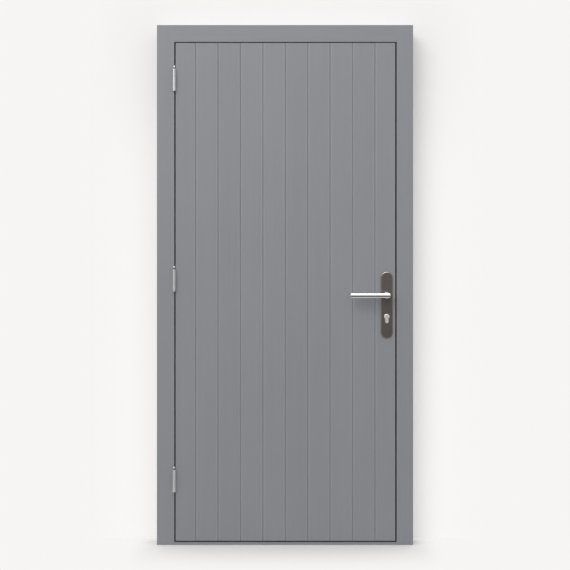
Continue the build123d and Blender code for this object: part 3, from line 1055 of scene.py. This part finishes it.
class DOOR_OT_framing(bpy.types.Operator):
    """Make the stiles, rails and braces behind the boards"""

    bl_idname = "door.framing"
    bl_label = "Make framing"

    def execute(self, context):
        arris = sizes().timber_arris
        finished = ("leaf_paint", "leaf", "painted_timber")
        for node in ("top_rail", "lock_rail", "bottom_rail", "upper_brace", "lower_brace"):
            name = node + "_timber"
            made = new_object(name, softened_mesh(name, node, arris))
            finish_piece(made, *finished, (node,))
        for node, cutters in (
            ("hinge_stile", hinge_seats(LEAF_LEFT, 1)),
            ("lock_stile", lock_openings()),
        ):
            near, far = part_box(node)
            corners = ((near.x, near.y), (far.x, near.y), (far.x, far.y), (near.x, far.y))
            outline = eased(corners, [0, 0, arris, arris], closed=True)
            stile = prism(outline, near.z, far.z)
            add_piece(node + "_timber", [stile], *finished, (node,), cutters)
        return {"FINISHED"}


# Weather seal

SEAL_BASE = 1.5 * MM
SEAL_CORNER_RADIUS = 9 * MM


def seal_tree():
    """A weather seal with a flat base and a soft bulb, run round a rectangle."""
    lengths = ("Width", "Height", "Corner radius", "Base width", "Base thickness")
    lengths += ("Bulb radius", "Bulb rise")
    tree, given, result = geometry_tree("Seal run", {"Vector": ("Centre",), "Float": lengths})
    path = {"Width": given["Width"], "Height": given["Height"]}
    path = shape(tree, "CurvePrimitiveQuadrilateral", path)
    path = {"Curve": path, "Radius": given["Corner radius"], "Count": 8}
    path = shape(tree, "FilletCurve", path, mode="POLY")
    base = {"Width": given["Base width"], "Height": given["Base thickness"]}
    base = shape(tree, "CurvePrimitiveQuadrilateral", base)
    bulb = {"Resolution": 16, "Radius": given["Bulb radius"]}
    bulb = shape(tree, "CurvePrimitiveCircle", bulb)
    section = joined(tree, (base, moved(tree, bulb, point(tree, y=given["Bulb rise"]))))
    run = shape(tree, "CurveToMesh", {"Curve": path, "Profile Curve": section})
    run = moved(tree, run, given["Centre"], (math.radians(90), 0.0, 0.0))
    return end_tree(tree, run, given, result)


class DOOR_OT_seal(bpy.types.Operator):
    """Run the weather seal round the stop"""

    bl_idname = "door.seal"
    bl_label = "Run weather seal"

    def execute(self, context):
        nodes = ("hinge_jamb_seal", "lock_jamb_seal", "head_seal", "sill_seal")
        left, right = middle(nodes[0]).x, middle(nodes[1]).x
        top, bottom = middle(nodes[2]).z, middle(nodes[3]).z
        bulb_radius = (STOP_FRONT - low("head_seal").y) / 2
        values = {
            "Centre": ((left + right) / 2, STOP_FRONT - SEAL_BASE / 2, (top + bottom) / 2),
            "Width": right - left,
            "Height": top - bottom,
            "Corner radius": SEAL_CORNER_RADIUS,
            "Base width": high("hinge_jamb_seal").x - low("hinge_jamb_seal").x,
            "Base thickness": SEAL_BASE,
            "Bulb radius": bulb_radius,
            "Bulb rise": bulb_radius - SEAL_BASE / 2,
        }
        finished = ("dull_rubber", "frame", "seal_rubber")
        run_tree("weather_seal", seal_tree(), values, *finished, nodes)
        return {"FINISHED"}


# Hinges

KNUCKLE_ROUNDING = 0.5 * MM
BORE_ROUNDING = 0.2 * MM
HINGE_CORNER = 3 * MM
NECK_RADIUS = 1.6 * MM
NECK_SLOPE = 0.8 * MM
NECK_RING_RADIUS = 2.9 * MM
NECK_RING_GAP = 0.2 * MM
NECK_RING_ROUNDING = 0.6 * MM


def hinge_plate_shells(plate, pin, side, knuckles):
    """A flat plate with its rolled knuckles round the pin."""
    near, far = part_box(plate)
    axis = middle(pin)
    outer_radius = axis.y - near.y
    bore_radius = PIN_RADIUS + PIN_CLEARANCE
    wall_middle = (bore_radius + outer_radius) / 2
    face_x = REBATE[0] if side < 0 else LEAF_LEFT
    back_x = face_x + side * HINGE_THICKNESS
    corners = ((FRONT, near.z), (far.y, near.z), (far.y, far.z), (FRONT, far.z))
    outline = eased(corners, [0, HINGE_CORNER, HINGE_CORNER, 0], closed=True)
    shells = [skin([[(x, y, z) for y, z in outline] for x in sorted((face_x, back_x))])]
    length = (far.z - near.z - (KNUCKLES - 1) * KNUCKLE_GAP) / KNUCKLES
    wall = ((bore_radius, 0), (outer_radius, 0), (outer_radius, length), (bore_radius, length))
    radii = [BORE_ROUNDING, KNUCKLE_ROUNDING, KNUCKLE_ROUNDING, BORE_ROUNDING]
    section = eased(wall, radii, closed=True)
    inner_x = axis.x + max(min(back_x - axis.x, wall_middle), -wall_middle)
    web = (
        (face_x, axis.y + max(wall_middle - abs(face_x - axis.x), 0)),
        (inner_x, axis.y + max(wall_middle - abs(back_x - axis.x), 0)),
        (back_x, (axis.y + FRONT) / 2),
        (back_x, FRONT + SPARE),
        (face_x, FRONT + SPARE),
    )
    for knuckle in knuckles:
        start = near.z + knuckle * (length + KNUCKLE_GAP)
        shells.append(turned(section, (axis.x, axis.y, start), (0, 0, 1), closed=True))
        shells.append(prism(web, start + KNUCKLE_ROUNDING, start + length - KNUCKLE_ROUNDING))
    return shells


class DOOR_OT_hinges(bpy.types.Operator):
    """Make the three hinges with their ball-headed pins"""

    bl_idname = "door.hinges"
    bl_label = "Make hinges"

    def execute(self, context):
        for place in PLACES:
            pin = f"{place}_hinge_pin"
            frame_plate = f"{place}_hinge_frame_plate"
            leaf_plate = f"{place}_hinge_leaf_plate"
            for plate, side, knuckles, body in (
                (frame_plate, -1, range(0, KNUCKLES, 2), "frame"),
                (leaf_plate, 1, range(1, KNUCKLES, 2), "leaf"),
            ):
                shells = hinge_plate_shells(plate, pin, side, knuckles)
                name = plate.replace("plate", "half")
                add_piece(name, shells, "hinge_zinc", body, "hinge_steel", (plate,))
            axis = (middle(pin).x, middle(pin).y, 0)
            neck_foot = high(frame_plate).z
            neck_top = neck_foot + PIN_NECK_HEIGHT
            # A dark ring round each pin's neck darkens the line between the knuckle and the ball
            ring_low, ring_high = neck_foot + NECK_RING_GAP, neck_top - NECK_RING_GAP
            ring = (
                (0, ring_low), (NECK_RING_RADIUS, ring_low),
                (NECK_RING_RADIUS, ring_high), (0, ring_high),
            )
            ring = turned(eased(ring, NECK_RING_ROUNDING), axis, (0, 0, 1))
            name = pin.replace("pin", "neck_ring")
            add_piece(name, [ring], "dull_rubber", "frame", "seal_rubber")
            radius = (high(pin).x - low(pin).x) / 2
            ball_middle = (0, high(pin).z - radius)
            profile = [
                (0, low(pin).z),
                (PIN_RADIUS, low(pin).z),
                (PIN_RADIUS, neck_foot),
                (NECK_RADIUS, neck_foot + NECK_SLOPE),
                (NECK_RADIUS, neck_top),
            ]
            profile += arc(ball_middle, radius, -math.acos(NECK_RADIUS / radius), math.pi / 2, 16)
            ball_pin = turned(profile, axis, (0, 0, 1))
            name = pin.replace("pin", "ball_pin")
            add_piece(name, [ball_pin], "hinge_zinc", "frame", "hinge_steel", (pin,))
        return {"FINISHED"}


# Lock furniture. The keyway's outline is in millimetres from the barrel's middle.

KEYWAY_MM = (
    (-1.1, -4.3), (0.1, -4.3), (0.1, -1.8), (1.1, -1.8), (1.1, 1.0), (0.2, 1.0),
    (0.2, 4.2), (-1.1, 4.2), (-1.1, 2.2), (-0.3, 2.2), (-0.3, -0.6), (-1.1, -0.6),
)
KEYWAY_DEPTH = 7 * MM
PLUG_RADIUS = 6.4 * MM
PLUG_GROOVE_WIDTH = 0.35 * MM
PLUG_GROOVE_DEPTH = 0.8 * MM
WARDS_DEPTH = 6.9 * MM
WARDS_LENGTH = 5.4 * MM
WARDS_SHARES = (0.97, 0.985)
CYLINDER_EDGE = 1.2 * MM
CYLINDER_ROUNDING = 0.5 * MM
COLLAR_ROUNDINGS = (0, 0, 2.2 * MM, 0.6 * MM)
SHOULDER_ROUNDINGS = (0, 0.3 * MM, 0, 0.5 * MM, 1.2 * MM, 0)
PLATE_ROUNDING = 0.5 * MM
LEVER_TIP = 20 * MM
LEVER_TIP_ROUNDING = 1.6 * MM
STEEL_ARRIS = 0.35 * MM


def round_ended(centre, width, height, inset):
    """The outline of an upright plate with round ends, drawn in by an inset."""
    radius = width / 2 - inset
    reach = (height - width) / 2
    upper = arc((centre.x, centre.z + reach), radius, 0.0, math.pi, 24)
    return upper + arc((centre.x, centre.z - reach), radius, math.pi, 2 * math.pi, 24)


def cylinder_outline(margin):
    """The profile cylinder's outline, a round barrel over a narrow tail, with a margin."""
    radius = CYLINDER_RADIUS + margin
    tail_radius = CYLINDER_TAIL_RADIUS + margin
    tail_middle = (SPINDLE_X, low("lock_cylinder").z + CYLINDER_TAIL_RADIUS)
    lean = math.asin(tail_radius / radius)
    barrel = (SPINDLE_X, CYLINDER_Z)
    barrel = arc(barrel, radius, lean - math.pi / 2, 1.5 * math.pi - lean, 36)
    return barrel + arc(tail_middle, tail_radius, math.pi, 2 * math.pi, 14)


def keyway_outline(width_share, height_share):
    """The outline of the keyway, or of the slightly smaller wards that fill it."""
    return [
        (SPINDLE_X + width_share * x * MM, CYLINDER_Z + height_share * z * MM)
        for x, z in KEYWAY_MM
    ]


def rimmed(outline_at, levels, closed=False):
    """A shell whose outline changes as it rises: levels are (inset, y) pairs."""
    return skin([[(x, y, z) for x, z in outline_at(inset)] for inset, y in levels], closed)


class DOOR_OT_plates(bpy.types.Operator):
    """Make the two long plates of the lock"""

    bl_idname = "door.plates"
    bl_label = "Make long plates"

    def execute(self, context):
        bevel = sizes().plate_bevel
        for node, outwards in (("outside_plate", -1), ("inside_plate", 1)):
            near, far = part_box(node)
            foot, face = (far.y, near.y) if outwards < 0 else (near.y, far.y)
            levels = ((0, foot), (0, face - outwards * bevel), (bevel, face), (3 * bevel, face))
            plate = rimmed(
                lambda inset: round_ended(middle(node), far.x - near.x, far.z - near.z, inset),
                eased(levels, PLATE_ROUNDING, steps=3),
            )
            holes = (
                spindle_bore(JOURNAL_RADIUS + JOURNAL_CLEARANCE, near.y, far.y),
                across(cylinder_outline(CYLINDER_CLEARANCE), near.y - SPARE, far.y + SPARE),
            )
            name = node.replace("plate", "long_plate")
            add_piece(name, [plate], "worn_dark_plate", "leaf", "dark_plate", (node,), holes)
        return {"FINISHED"}


class DOOR_OT_cylinder(bpy.types.Operator):
    """Make the lock cylinder, its turning plugs and its collar"""

    bl_idname = "door.cylinder"
    bl_label = "Make lock cylinder"

    def execute(self, context):
        near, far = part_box("lock_cylinder")
        levels = ((CYLINDER_EDGE, near.y), (0, near.y), (0, far.y), (CYLINDER_EDGE, far.y))
        levels = eased(levels, CYLINDER_ROUNDING, steps=3)
        barrel = rimmed(lambda inset: cylinder_outline(-inset), levels)
        keyway = keyway_outline(1, 1)
        wards = keyway_outline(*WARDS_SHARES)
        ring_edge = PLUG_RADIUS + PLUG_GROOVE_WIDTH
        ring = (
            (PLUG_RADIUS, -PLUG_GROOVE_DEPTH),
            (ring_edge, -PLUG_GROOVE_DEPTH),
            (ring_edge, SPARE),
            (PLUG_RADIUS, SPARE),
        )
        cutters = []
        fillings = []
        for end_y, outwards in ((near.y, -1), (far.y, 1)):
            centre = (SPINDLE_X, end_y, CYLINDER_Z)
            cutters.append(turned(ring, centre, (0, outwards, 0), closed=True))
            ends = (end_y + outwards * SPARE, end_y - outwards * KEYWAY_DEPTH)
            cutters.append(across(keyway, *sorted(ends)))
            floor_y = end_y - outwards * WARDS_DEPTH
            fillings.append(across(wards, *sorted((floor_y, floor_y + outwards * WARDS_LENGTH))))
        finished = ("satin_nickel", "leaf", "cylinder_nickel")
        add_piece("profile_cylinder", [barrel], *finished, ("lock_cylinder",), cutters)
        # The wards at each keyway's far end are painted dark as its shade
        for name, filling in zip(("outside_keyway", "inside_keyway"), fillings):
            add_piece(name, [filling], "keyway_dark", "leaf", "cylinder_nickel")
        near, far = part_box("cylinder_collar")
        wall = (far.x - near.x) / 2 - CYLINDER_RADIUS
        gap = CYLINDER_CLEARANCE
        section = ((gap, far.y), (wall, far.y), (wall, near.y), (gap, near.y))
        section = eased(section, COLLAR_ROUNDINGS, closed=True)
        rose = rimmed(cylinder_outline, section, closed=True)
        finished = ("bright_nickel", "leaf", "cylinder_nickel")
        add_piece("cylinder_rose", [rose], *finished, ("cylinder_collar",))
        return {"FINISHED"}


class DOOR_OT_levers(bpy.types.Operator):
    """Make the two levers"""

    bl_idname = "door.levers"
    bl_label = "Make levers"

    def execute(self, context):
        along_door, upwards = Vector((0, 1, 0)), Vector((0, 0, 1))
        for node, outwards, plate_face in (
            ("outside_lever", -1, low("outside_plate").y),
            ("inside_lever", 1, high("inside_plate").y),
        ):
            near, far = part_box(node)
            bar_y = near.y + LEVER_RADIUS if outwards < 0 else far.y - LEVER_RADIUS
            leaf_face = FRONT if outwards < 0 else LEAF_BACK
            neck_side = Vector((outwards, 0, 0))
            stations = [
                (SPINDLE_X, plate_face + outwards * SPARE, neck_side, LEVER_RADIUS),
                (SPINDLE_X, bar_y, neck_side + along_door, LEVER_RADIUS),
            ]
            tip = ((LEVER_RADIUS, LEVER_TIP), (LEVER_RADIUS, 0), (0, 0))
            for radius, from_end in eased(tip, LEVER_TIP_ROUNDING, steps=5):
                stations.append((near.x + from_end, bar_y, along_door, radius))
            rings = [
                ring_round(Vector((x, y, SPINDLE_Z)), side, upwards, radius, 40)
                for x, y, side, radius in stations
            ]
            foot = plate_face * outwards + LEVER_RUNNING_GAP
            face = foot + SHOULDER_HEIGHT
            shoulder = (
                (0, leaf_face * outwards),
                (JOURNAL_RADIUS, leaf_face * outwards),
                (JOURNAL_RADIUS, foot),
                (far.z - SPINDLE_Z, foot),
                (SHOULDER_FACE_RADIUS, face),
                (0, face),
            )
            shoulder = eased(shoulder, SHOULDER_ROUNDINGS)
            shoulder = turned(shoulder, (SPINDLE_X, 0, SPINDLE_Z), (0, outwards, 0))
            name = node.replace("lever", "lever_handle")
            handle = new_object(name, shells_mesh(name, [skin(rings), shoulder]))
            corner = handle.modifiers.new("Corner", "BEVEL")
            corner.width = sizes().lever_arris
            corner.segments = 3
            corner.limit_method = "ANGLE"
            corner.angle_limit = EDGE_ANGLE
            plain_mesh(handle)
            finish_piece(handle, "satin_steel", "handle", "lever_steel", (node,))
        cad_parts["spindle"].data.materials.clear()
        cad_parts["spindle"].data.materials.append(finish("brushed_steel"))
        return {"FINISHED"}


class DOOR_OT_lock(bpy.types.Operator):
    """Make the lock case, its bolts and the strike plate"""

    bl_idname = "door.lock"
    bl_label = "Make lock"

    def execute(self, context):
        for node in ("lock_case", "latch_bolt", "deadbolt", "strike_plate"):
            body = "frame" if node == "strike_plate" else "leaf"
            name = node + "_steel"
            made = new_object(name, softened_mesh(name, node, STEEL_ARRIS))
            finish_piece(made, "brushed_steel", body, "lock_steel", (node,))
        return {"FINISHED"}


# Screws

SCREW_DEPTH = 2.2 * MM
SCREW_PROUD = 0.3 * MM
RECESS_WIDTH = 1.4 * MM
SCREW_INSET = 9 * MM
PLATE_SCREW_INSET = 14 * MM
HINGE_SCREW_STAGGER = 6 * MM
SUNK_IN_FRAME = 1.5 * MM

# Shares of a screw head's radius, and the last of its depth
HEAD_TOP = 0.96
HEAD_FOOT = 0.55
RECESS_LENGTH = 1.15
RECESS_DEPTH = 1.4


def screw_tree():
    """Rows of countersunk screws with cross recesses, facing along X before they are turned."""
    lengths = ("Head radius", "Head depth", "Recess width", "Row spacing", "Stagger")
    lengths += ("Group spacing", "Turn")
    inputs = {"Float": lengths, "Int": ("Rows", "Groups"), "Vector": ("Origin",)}
    tree, given, result = geometry_tree("Screw rows", inputs)
    radius, depth, width = (given[name] for name in ("Head radius", "Head depth", "Recess width"))
    head = {
        "Vertices": 28,
        "Radius Top": times(tree, radius, HEAD_TOP),
        "Radius Bottom": times(tree, radius, HEAD_FOOT),
        "Depth": depth,
    }
    head = shape(tree, "MeshCone", head)
    length = times(tree, radius, RECESS_LENGTH)
    recess_depth = times(tree, depth, RECESS_DEPTH)
    arms = [
        shape(tree, "MeshCube", {"Size": point(tree, *arm, recess_depth)})
        for arm in ((width, length), (length, width))
    ]
    cross = moved(tree, joined(tree, arms), point(tree, z=depth))
    screw = {"Mesh 1": head, "Mesh 2": cross, "Self Intersection": True}
    screw = shape(tree, "MeshBoolean", screw, operation="DIFFERENCE", solver="EXACT")
    screw = moved(tree, screw, point(tree, z=times(tree, depth, -1)))
    screw = moved(tree, screw, rotation=(0.0, math.radians(90), 0.0))
    row = {"Count": given["Rows"], "Offset": point(tree, z=given["Row spacing"])}
    row = shape(tree, "MeshLine", row)
    odd = maths(tree, "MODULO", shape(tree, "InputIndex"), 2.0)
    sideways = times(tree, minus(tree, times(tree, odd, 2.0), 1.0), given["Stagger"])
    row = shape(tree, "SetPosition", {"Geometry": row, "Offset": point(tree, y=sideways)})
    column = shape(tree, "InstanceOnPoints", {"Points": row, "Instance": screw})
    screws = in_line(tree, column, given["Groups"], point(tree, z=given["Group spacing"]))
    screws = shape(tree, "RealizeInstances", {"Geometry": screws})
    screws = moved(tree, screws, given["Origin"], point(tree, z=given["Turn"]))
    return end_tree(tree, screws, given, result)


def screw_rows(node, rows, inset=SCREW_INSET):
    """The height of a plate's lowest screw, and the values of its rows."""
    start = low(node).z + inset
    return start, {"Rows": rows, "Row spacing": (high(node).z - inset - start) / (rows - 1)}


class DOOR_OT_screws(bpy.types.Operator):
    """Drive the screws of the hinges, the lock, the strike and the frame"""

    bl_idname = "door.screws"
    bl_label = "Drive screws"

    def execute(self, context):
        tree = screw_tree()
        plate = "bottom_hinge_frame_plate"
        plate_y = (FRONT + high(plate).y) / 2
        hinge_z, hinges = screw_rows(plate, 4)
        hinges["Stagger"] = HINGE_SCREW_STAGGER
        hinges["Groups"] = len(PLACES)
        hinges["Group spacing"] = middle("middle_hinge_frame_plate").z - middle(plate).z
        strike_z, strike = screw_rows("strike_plate", 2)
        case_z, faceplate = screw_rows("lock_case", 2)
        inside_z, inside = screw_rows("inside_plate", 2, PLATE_SCREW_INSET)
        inside_y = high("inside_plate").y + SCREW_PROUD
        jamb = {"Rows": FIXING_HOLES, "Row spacing": FIXING_HOLE_SPACING}
        jamb["Head radius"] = FIXING_HOLE_RADIUS
        hinge_x, lock_x = REBATE[0], REBATE[1]
        for name, body, turn, origin, values in (
            ("hinge_frame_screws", "frame", 0, (hinge_x + SCREW_PROUD, plate_y, hinge_z), hinges),
            ("hinge_leaf_screws", "leaf", 2, (LEAF_LEFT - SCREW_PROUD, plate_y, hinge_z), hinges),
            ("strike_screws", "frame", 2, (lock_x - SCREW_PROUD, LEAF_MIDDLE_Y, strike_z), strike),
            (
                "faceplate_screws", "leaf", 0,
                (LEAF_RIGHT + SCREW_PROUD, LEAF_MIDDLE_Y, case_z), faceplate,
            ),
            ("inside_plate_screws", "leaf", 1, (SPINDLE_X, inside_y, inside_z), inside),
            (
                "hinge_jamb_frame_screws", "frame", 0,
                (hinge_x - SUNK_IN_FRAME, LEAF_MIDDLE_Y, FIXING_HOLE_RISE), jamb,
            ),
            (
                "lock_jamb_frame_screws", "frame", 2,
                (lock_x + SUNK_IN_FRAME, LEAF_MIDDLE_Y, FIXING_HOLE_RISE), jamb,
            ),
        ):
            shared = {
                "Head radius": sizes().screw_head / 2,
                "Head depth": SCREW_DEPTH,
                "Recess width": RECESS_WIDTH,
                "Groups": 1,
                "Turn": turn * math.pi / 2,
                "Origin": origin,
            }
            finished = ("screw_zinc", body, "hinge_steel")
            run_tree(name, tree, {**shared, **values}, *finished)
        return {"FINISHED"}


# Studio

# How fast the floor's shadow fades to the side, in front and behind, and how it widens
SIDE_FADE = 2.6
FRONT_FADE = 0.75
BEHIND_FADE = 0.12
BEHIND_WIDENING = 0.6

# What the floor sends back to the door, and what polished metal mirrors of it far off
LIT_GREY = 0.25
MIRRORED_GREY = 0.03

# Where the mirrored floor fades out, as shares of the far floor's distance
FAR_FLOOR_FADE = (-1.2, -0.6)

# How the wall's glow evens out the lamps: more to the right, less higher up and at the top
GLOW_TO_RIGHT = 0.026
GLOW_UPWARDS = 0.072
GLOW_AT_TOP = 0.11
TOP_START = 1.4
EDGE_ON = 0.8

# Light from all round by height and from behind, and its reflection: start, end, least, most
LIGHT_BY_HEIGHT = (-0.05, 0.6, 0.9, 1.2)
MIRRORED_BY_HEIGHT = (0.0, 0.6, 0.8, 1.35)
FROM_BEHIND = (0.2, 0.7)

KEY_LAMP = {"place": (-5.0, -9.2, 8.0), "target": (0, 0, 1.1)}
TOP_LAMP = {"place": (-0.5, -0.05, 5.4), "target": (-0.5, -0.05, 0)}
TOP_LAMP_SIZE = (5.0, 1.2)
STAGE_REACH = 12.0
WALL_GAP = 10 * MM


def surface_places(tree):
    """The three object coordinates of a surface."""
    return axes(tree, add_node(tree, "ShaderNodeTexCoord")["Object"])


def lit_backdrop(tree, level, glow):
    """A pale surface that keeps shadows, with a glow that no shadow takes."""
    colour = [part * level for part in bpy.context.scene.door_studio.backdrop] + [1.0]
    matt = shade(tree, "BsdfDiffuse", {"Color": colour})
    lift = shade(tree, "Emission", {"Color": colour, "Strength": glow})
    return shade(tree, "AddShader", {0: matt, 1: lift})


def beyond(tree, coordinate, edge):
    """How far a coordinate lies beyond an edge, or nothing."""
    return maths(tree, "MAXIMUM", minus(tree, coordinate, edge), 0.0)


def far_off(tree, sideways, away, reach):
    """From 0 at the door to 1 beyond a reach, for two distances from its outline."""
    place = {0: point(tree, sideways, away)}
    distance = add_node(tree, "ShaderNodeVectorMath", place, operation="LENGTH")["Value"]
    return ramp(tree, distance, 0.0, reach)


def fade_to_backdrop(tree, seen, share):
    """Let the plain backdrop take over from a lit surface."""
    colour = (*bpy.context.scene.door_studio.backdrop, 1.0)
    plain = shade(tree, "Emission", {"Color": colour, "Strength": 1.0})
    return shade(tree, "MixShader", {0: share, 1: seen, 2: plain})


def show_surface(tree, share, hidden, seen):
    """Let a share of the rays meet the seen surface, and the rest the hidden one."""
    mixed = shade(tree, "MixShader", {0: share, 1: hidden, 2: seen})
    add_node(tree, "ShaderNodeOutputMaterial", {"Surface": mixed})


def floor_material(settings):
    """A pale floor that lights the door as a grey one, and is mirrored dark far off."""
    tree = empty_tree(bpy.data.materials.new("floor_pale"))
    place = surface_places(tree)
    y = place["Y"]
    behind = beyond(tree, y, BACK)
    sideways = beyond(tree, maths(tree, "ABSOLUTE", place["X"]), OUTER[1])
    sideways = beyond(tree, sideways, times(tree, behind, BEHIND_WIDENING))
    in_front = beyond(tree, times(tree, y, -1.0), -FRONT)
    away = plus(tree, times(tree, in_front, FRONT_FADE), times(tree, behind, BEHIND_FADE))
    faded = far_off(tree, times(tree, sideways, SIDE_FADE), away, settings.shade_reach)
    seen = lit_backdrop(tree, settings.floor_level, settings.floor_glow)
    seen = fade_to_backdrop(tree, seen, faded)
    rays = add_node(tree, "ShaderNodeLightPath")
    fade = [share * settings.far_floor for share in FAR_FLOOR_FADE]
    nearness = ramp(tree, y, *fade, kind="LINEAR")
    mirrored = times(tree, rays["Is Glossy Ray"], nearness)
    share = maths(tree, "ADD", rays["Is Camera Ray"], mirrored, clamp=True)
    grey = spread(tree, rays["Is Glossy Ray"], LIT_GREY, MIRRORED_GREY)
    show_surface(tree, share, shade(tree, "BsdfDiffuse", {"Color": grey}), seen)


def wall_material(settings):
    """A pale wall, evened out across the lamps' fall-off, that only the camera sees."""
    tree = empty_tree(bpy.data.materials.new("wall_pale"))
    place = surface_places(tree)
    x, z = place["X"], place["Z"]
    near_top = ramp(tree, z, TOP_START, OUTER[3], 0.0, GLOW_AT_TOP)
    glow = plus(tree, times(tree, x, GLOW_TO_RIGHT), settings.wall_glow)
    glow = minus(tree, glow, plus(tree, times(tree, z, GLOW_UPWARDS), near_top))
    from_middle = maths(tree, "ABSOLUTE", x)
    sideways = beyond(tree, from_middle, OUTER[1])
    round_frame = far_off(tree, sideways, beyond(tree, z, OUTER[3]), settings.shade_reach)
    below_head = beyond(tree, LEAF_TOP, z)
    inwards = maths(tree, "MINIMUM", beyond(tree, REBATE[1], from_middle), below_head)
    in_opening = far_off(tree, inwards, 0.0, settings.shade_reach / 4)
    faded = maths(tree, "MAXIMUM", round_frame, in_opening)
    seen = fade_to_backdrop(tree, lit_backdrop(tree, settings.wall_level, glow), faded)
    in_front = minus(tree, 1.0, add_node(tree, "ShaderNodeNewGeometry")["Backfacing"])
    facing = add_node(tree, "ShaderNodeLayerWeight", {"Blend": 0.5})["Facing"]
    share = times(tree, add_node(tree, "ShaderNodeLightPath")["Is Camera Ray"], in_front)
    share = times(tree, share, maths(tree, "LESS_THAN", facing, EDGE_ON))
    show_surface(tree, share, shade(tree, "BsdfTransparent"), seen)


def studio_world(settings):
    """Soft light from all round, brighter from above and behind, with a pale background."""
    world = bpy.data.worlds.new("Studio")
    tree = empty_tree(world)
    direction = axes(tree, add_node(tree, "ShaderNodeTexCoord")["Generated"])
    z = direction["Z"]
    from_behind = ramp(tree, direction["Y"], *FROM_BEHIND, 1.0, settings.back_light)
    lit = times(tree, ramp(tree, z, *LIGHT_BY_HEIGHT), from_behind)
    rays = add_node(tree, "ShaderNodeLightPath")
    level = {0: rays["Is Glossy Ray"], 2: lit, 3: ramp(tree, z, *MIRRORED_BY_HEIGHT)}
    level = times(tree, shade(tree, "Mix", level, data_type="FLOAT"), settings.sky)
    light = shade(tree, "Background", {"Color": (1.0, 1.0, 1.0, 1.0), "Strength": level})
    pale = shade(tree, "Background", {"Color": (*settings.backdrop, 1.0)})
    mixed = shade(tree, "MixShader", {0: rays["Is Camera Ray"], 1: light, 2: pale})
    add_node(tree, "ShaderNodeOutputWorld", {"Surface": mixed})
    return world


def hang_lamp(name, power, size, place, target):
    """A soft rectangular lamp aimed at a target."""
    soft = bpy.data.lights.new(name, "AREA")
    soft.shape = "RECTANGLE"
    soft.size, soft.size_y = size
    soft.energy = power
    lamp = new_object(name, soft)
    lamp.location = place
    aim = Vector(target) - Vector(place)
    lamp.rotation_euler = aim.to_track_quat("-Z", "Y").to_euler()
    lamp.visible_camera = False


def flat_sheet(name, corners, material):
    """A four-cornered mesh for the floor or the wall."""
    mesh = bpy.data.meshes.new(name)
    mesh.from_pydata(corners, [], [(0, 1, 2, 3)])
    mesh.materials.append(finish(material))
    return mesh


class DOOR_OT_studio(bpy.types.Operator):
    """Set the camera, the soft lamps, the floor and the wall behind the door"""

    bl_idname = "door.studio"
    bl_label = "Set studio"

    def execute(self, context):
        settings = context.scene.door_studio
        context.scene.view_settings.view_transform = "Standard"
        context.scene.world = studio_world(settings)

        lens = bpy.data.cameras.new("Camera")
        lens.sensor_width = 36
        lens.lens = lens.sensor_width * settings.distance / settings.field
        camera = new_object("Camera", lens)
        left, right, bottom, top = OUTER
        camera.location = ((left + right) / 2, FRONT - settings.distance, (bottom + top) / 2)
        camera.rotation_euler = (math.radians(90), 0, 0)
        context.scene.camera = camera

        hang_lamp("Key", settings.key_power, (settings.key_size, settings.key_size), **KEY_LAMP)
        hang_lamp("Top", settings.top_power, TOP_LAMP_SIZE, **TOP_LAMP)

        floor_material(settings)
        wall_material(settings)
        far = STAGE_REACH
        wall_y = high("inside_lever").y + WALL_GAP
        floor = ((-far, -far, 0), (far, -far, 0), (far, far, 0), (-far, far, 0))
        wall = ((-far, wall_y, 0), (far, wall_y, 0), (far, wall_y, far), (-far, wall_y, far))
        floor = flat_sheet("floor", floor, "floor_pale")
        wall = flat_sheet("wall", wall, "wall_pale")
        new_object("floor", floor)
        new_object("wall", wall)
        return {"FINISHED"}


class DOOR_PT_panel(bpy.types.Panel):
    """The door's settings and steps"""

    bl_idname = "DOOR_PT_panel"
    bl_label = "Door"
    bl_space_type = "VIEW_3D"
    bl_region_type = "UI"
    bl_category = "Door"

    def draw(self, context):
        scene = context.scene
        for group in (scene.door_sizes, scene.door_colours, scene.door_studio):
            box = self.layout.box()
            for name in group.__annotations__:
                box.prop(group, name)
        for step in STEPS:
            self.layout.operator(step.bl_idname)


STEPS = (
    DOOR_OT_finishes,
    DOOR_OT_studio,
    DOOR_OT_frame_timber,
    DOOR_OT_boards,
    DOOR_OT_framing,
    DOOR_OT_seal,
    DOOR_OT_hinges,
    DOOR_OT_plates,
    DOOR_OT_cylinder,
    DOOR_OT_levers,
    DOOR_OT_lock,
    DOOR_OT_screws,
)
CLASSES = (DoorSizes, DoorColours, DoorStudio, *STEPS, DOOR_PT_panel)


def register():
    for made in CLASSES:
        bpy.utils.register_class(made)
    bpy.types.Scene.door_sizes = PointerProperty(type=DoorSizes)
    bpy.types.Scene.door_colours = PointerProperty(type=DoorColours)
    bpy.types.Scene.door_studio = PointerProperty(type=DoorStudio)


def unregister():
    del bpy.types.Scene.door_studio
    del bpy.types.Scene.door_colours
    del bpy.types.Scene.door_sizes
    for made in reversed(CLASSES):
        bpy.utils.unregister_class(made)


def main():
    register()
    bpy.ops.door.finishes()
    bpy.ops.door.studio()
    bpy.ops.door.frame_timber()
    bpy.ops.door.boards()
    bpy.ops.door.framing()
    bpy.ops.door.seal()
    bpy.ops.door.hinges()
    bpy.ops.door.plates()
    bpy.ops.door.cylinder()
    bpy.ops.door.levers()
    bpy.ops.door.lock()
    bpy.ops.door.screws()


if __name__ == "__main__":
    main()
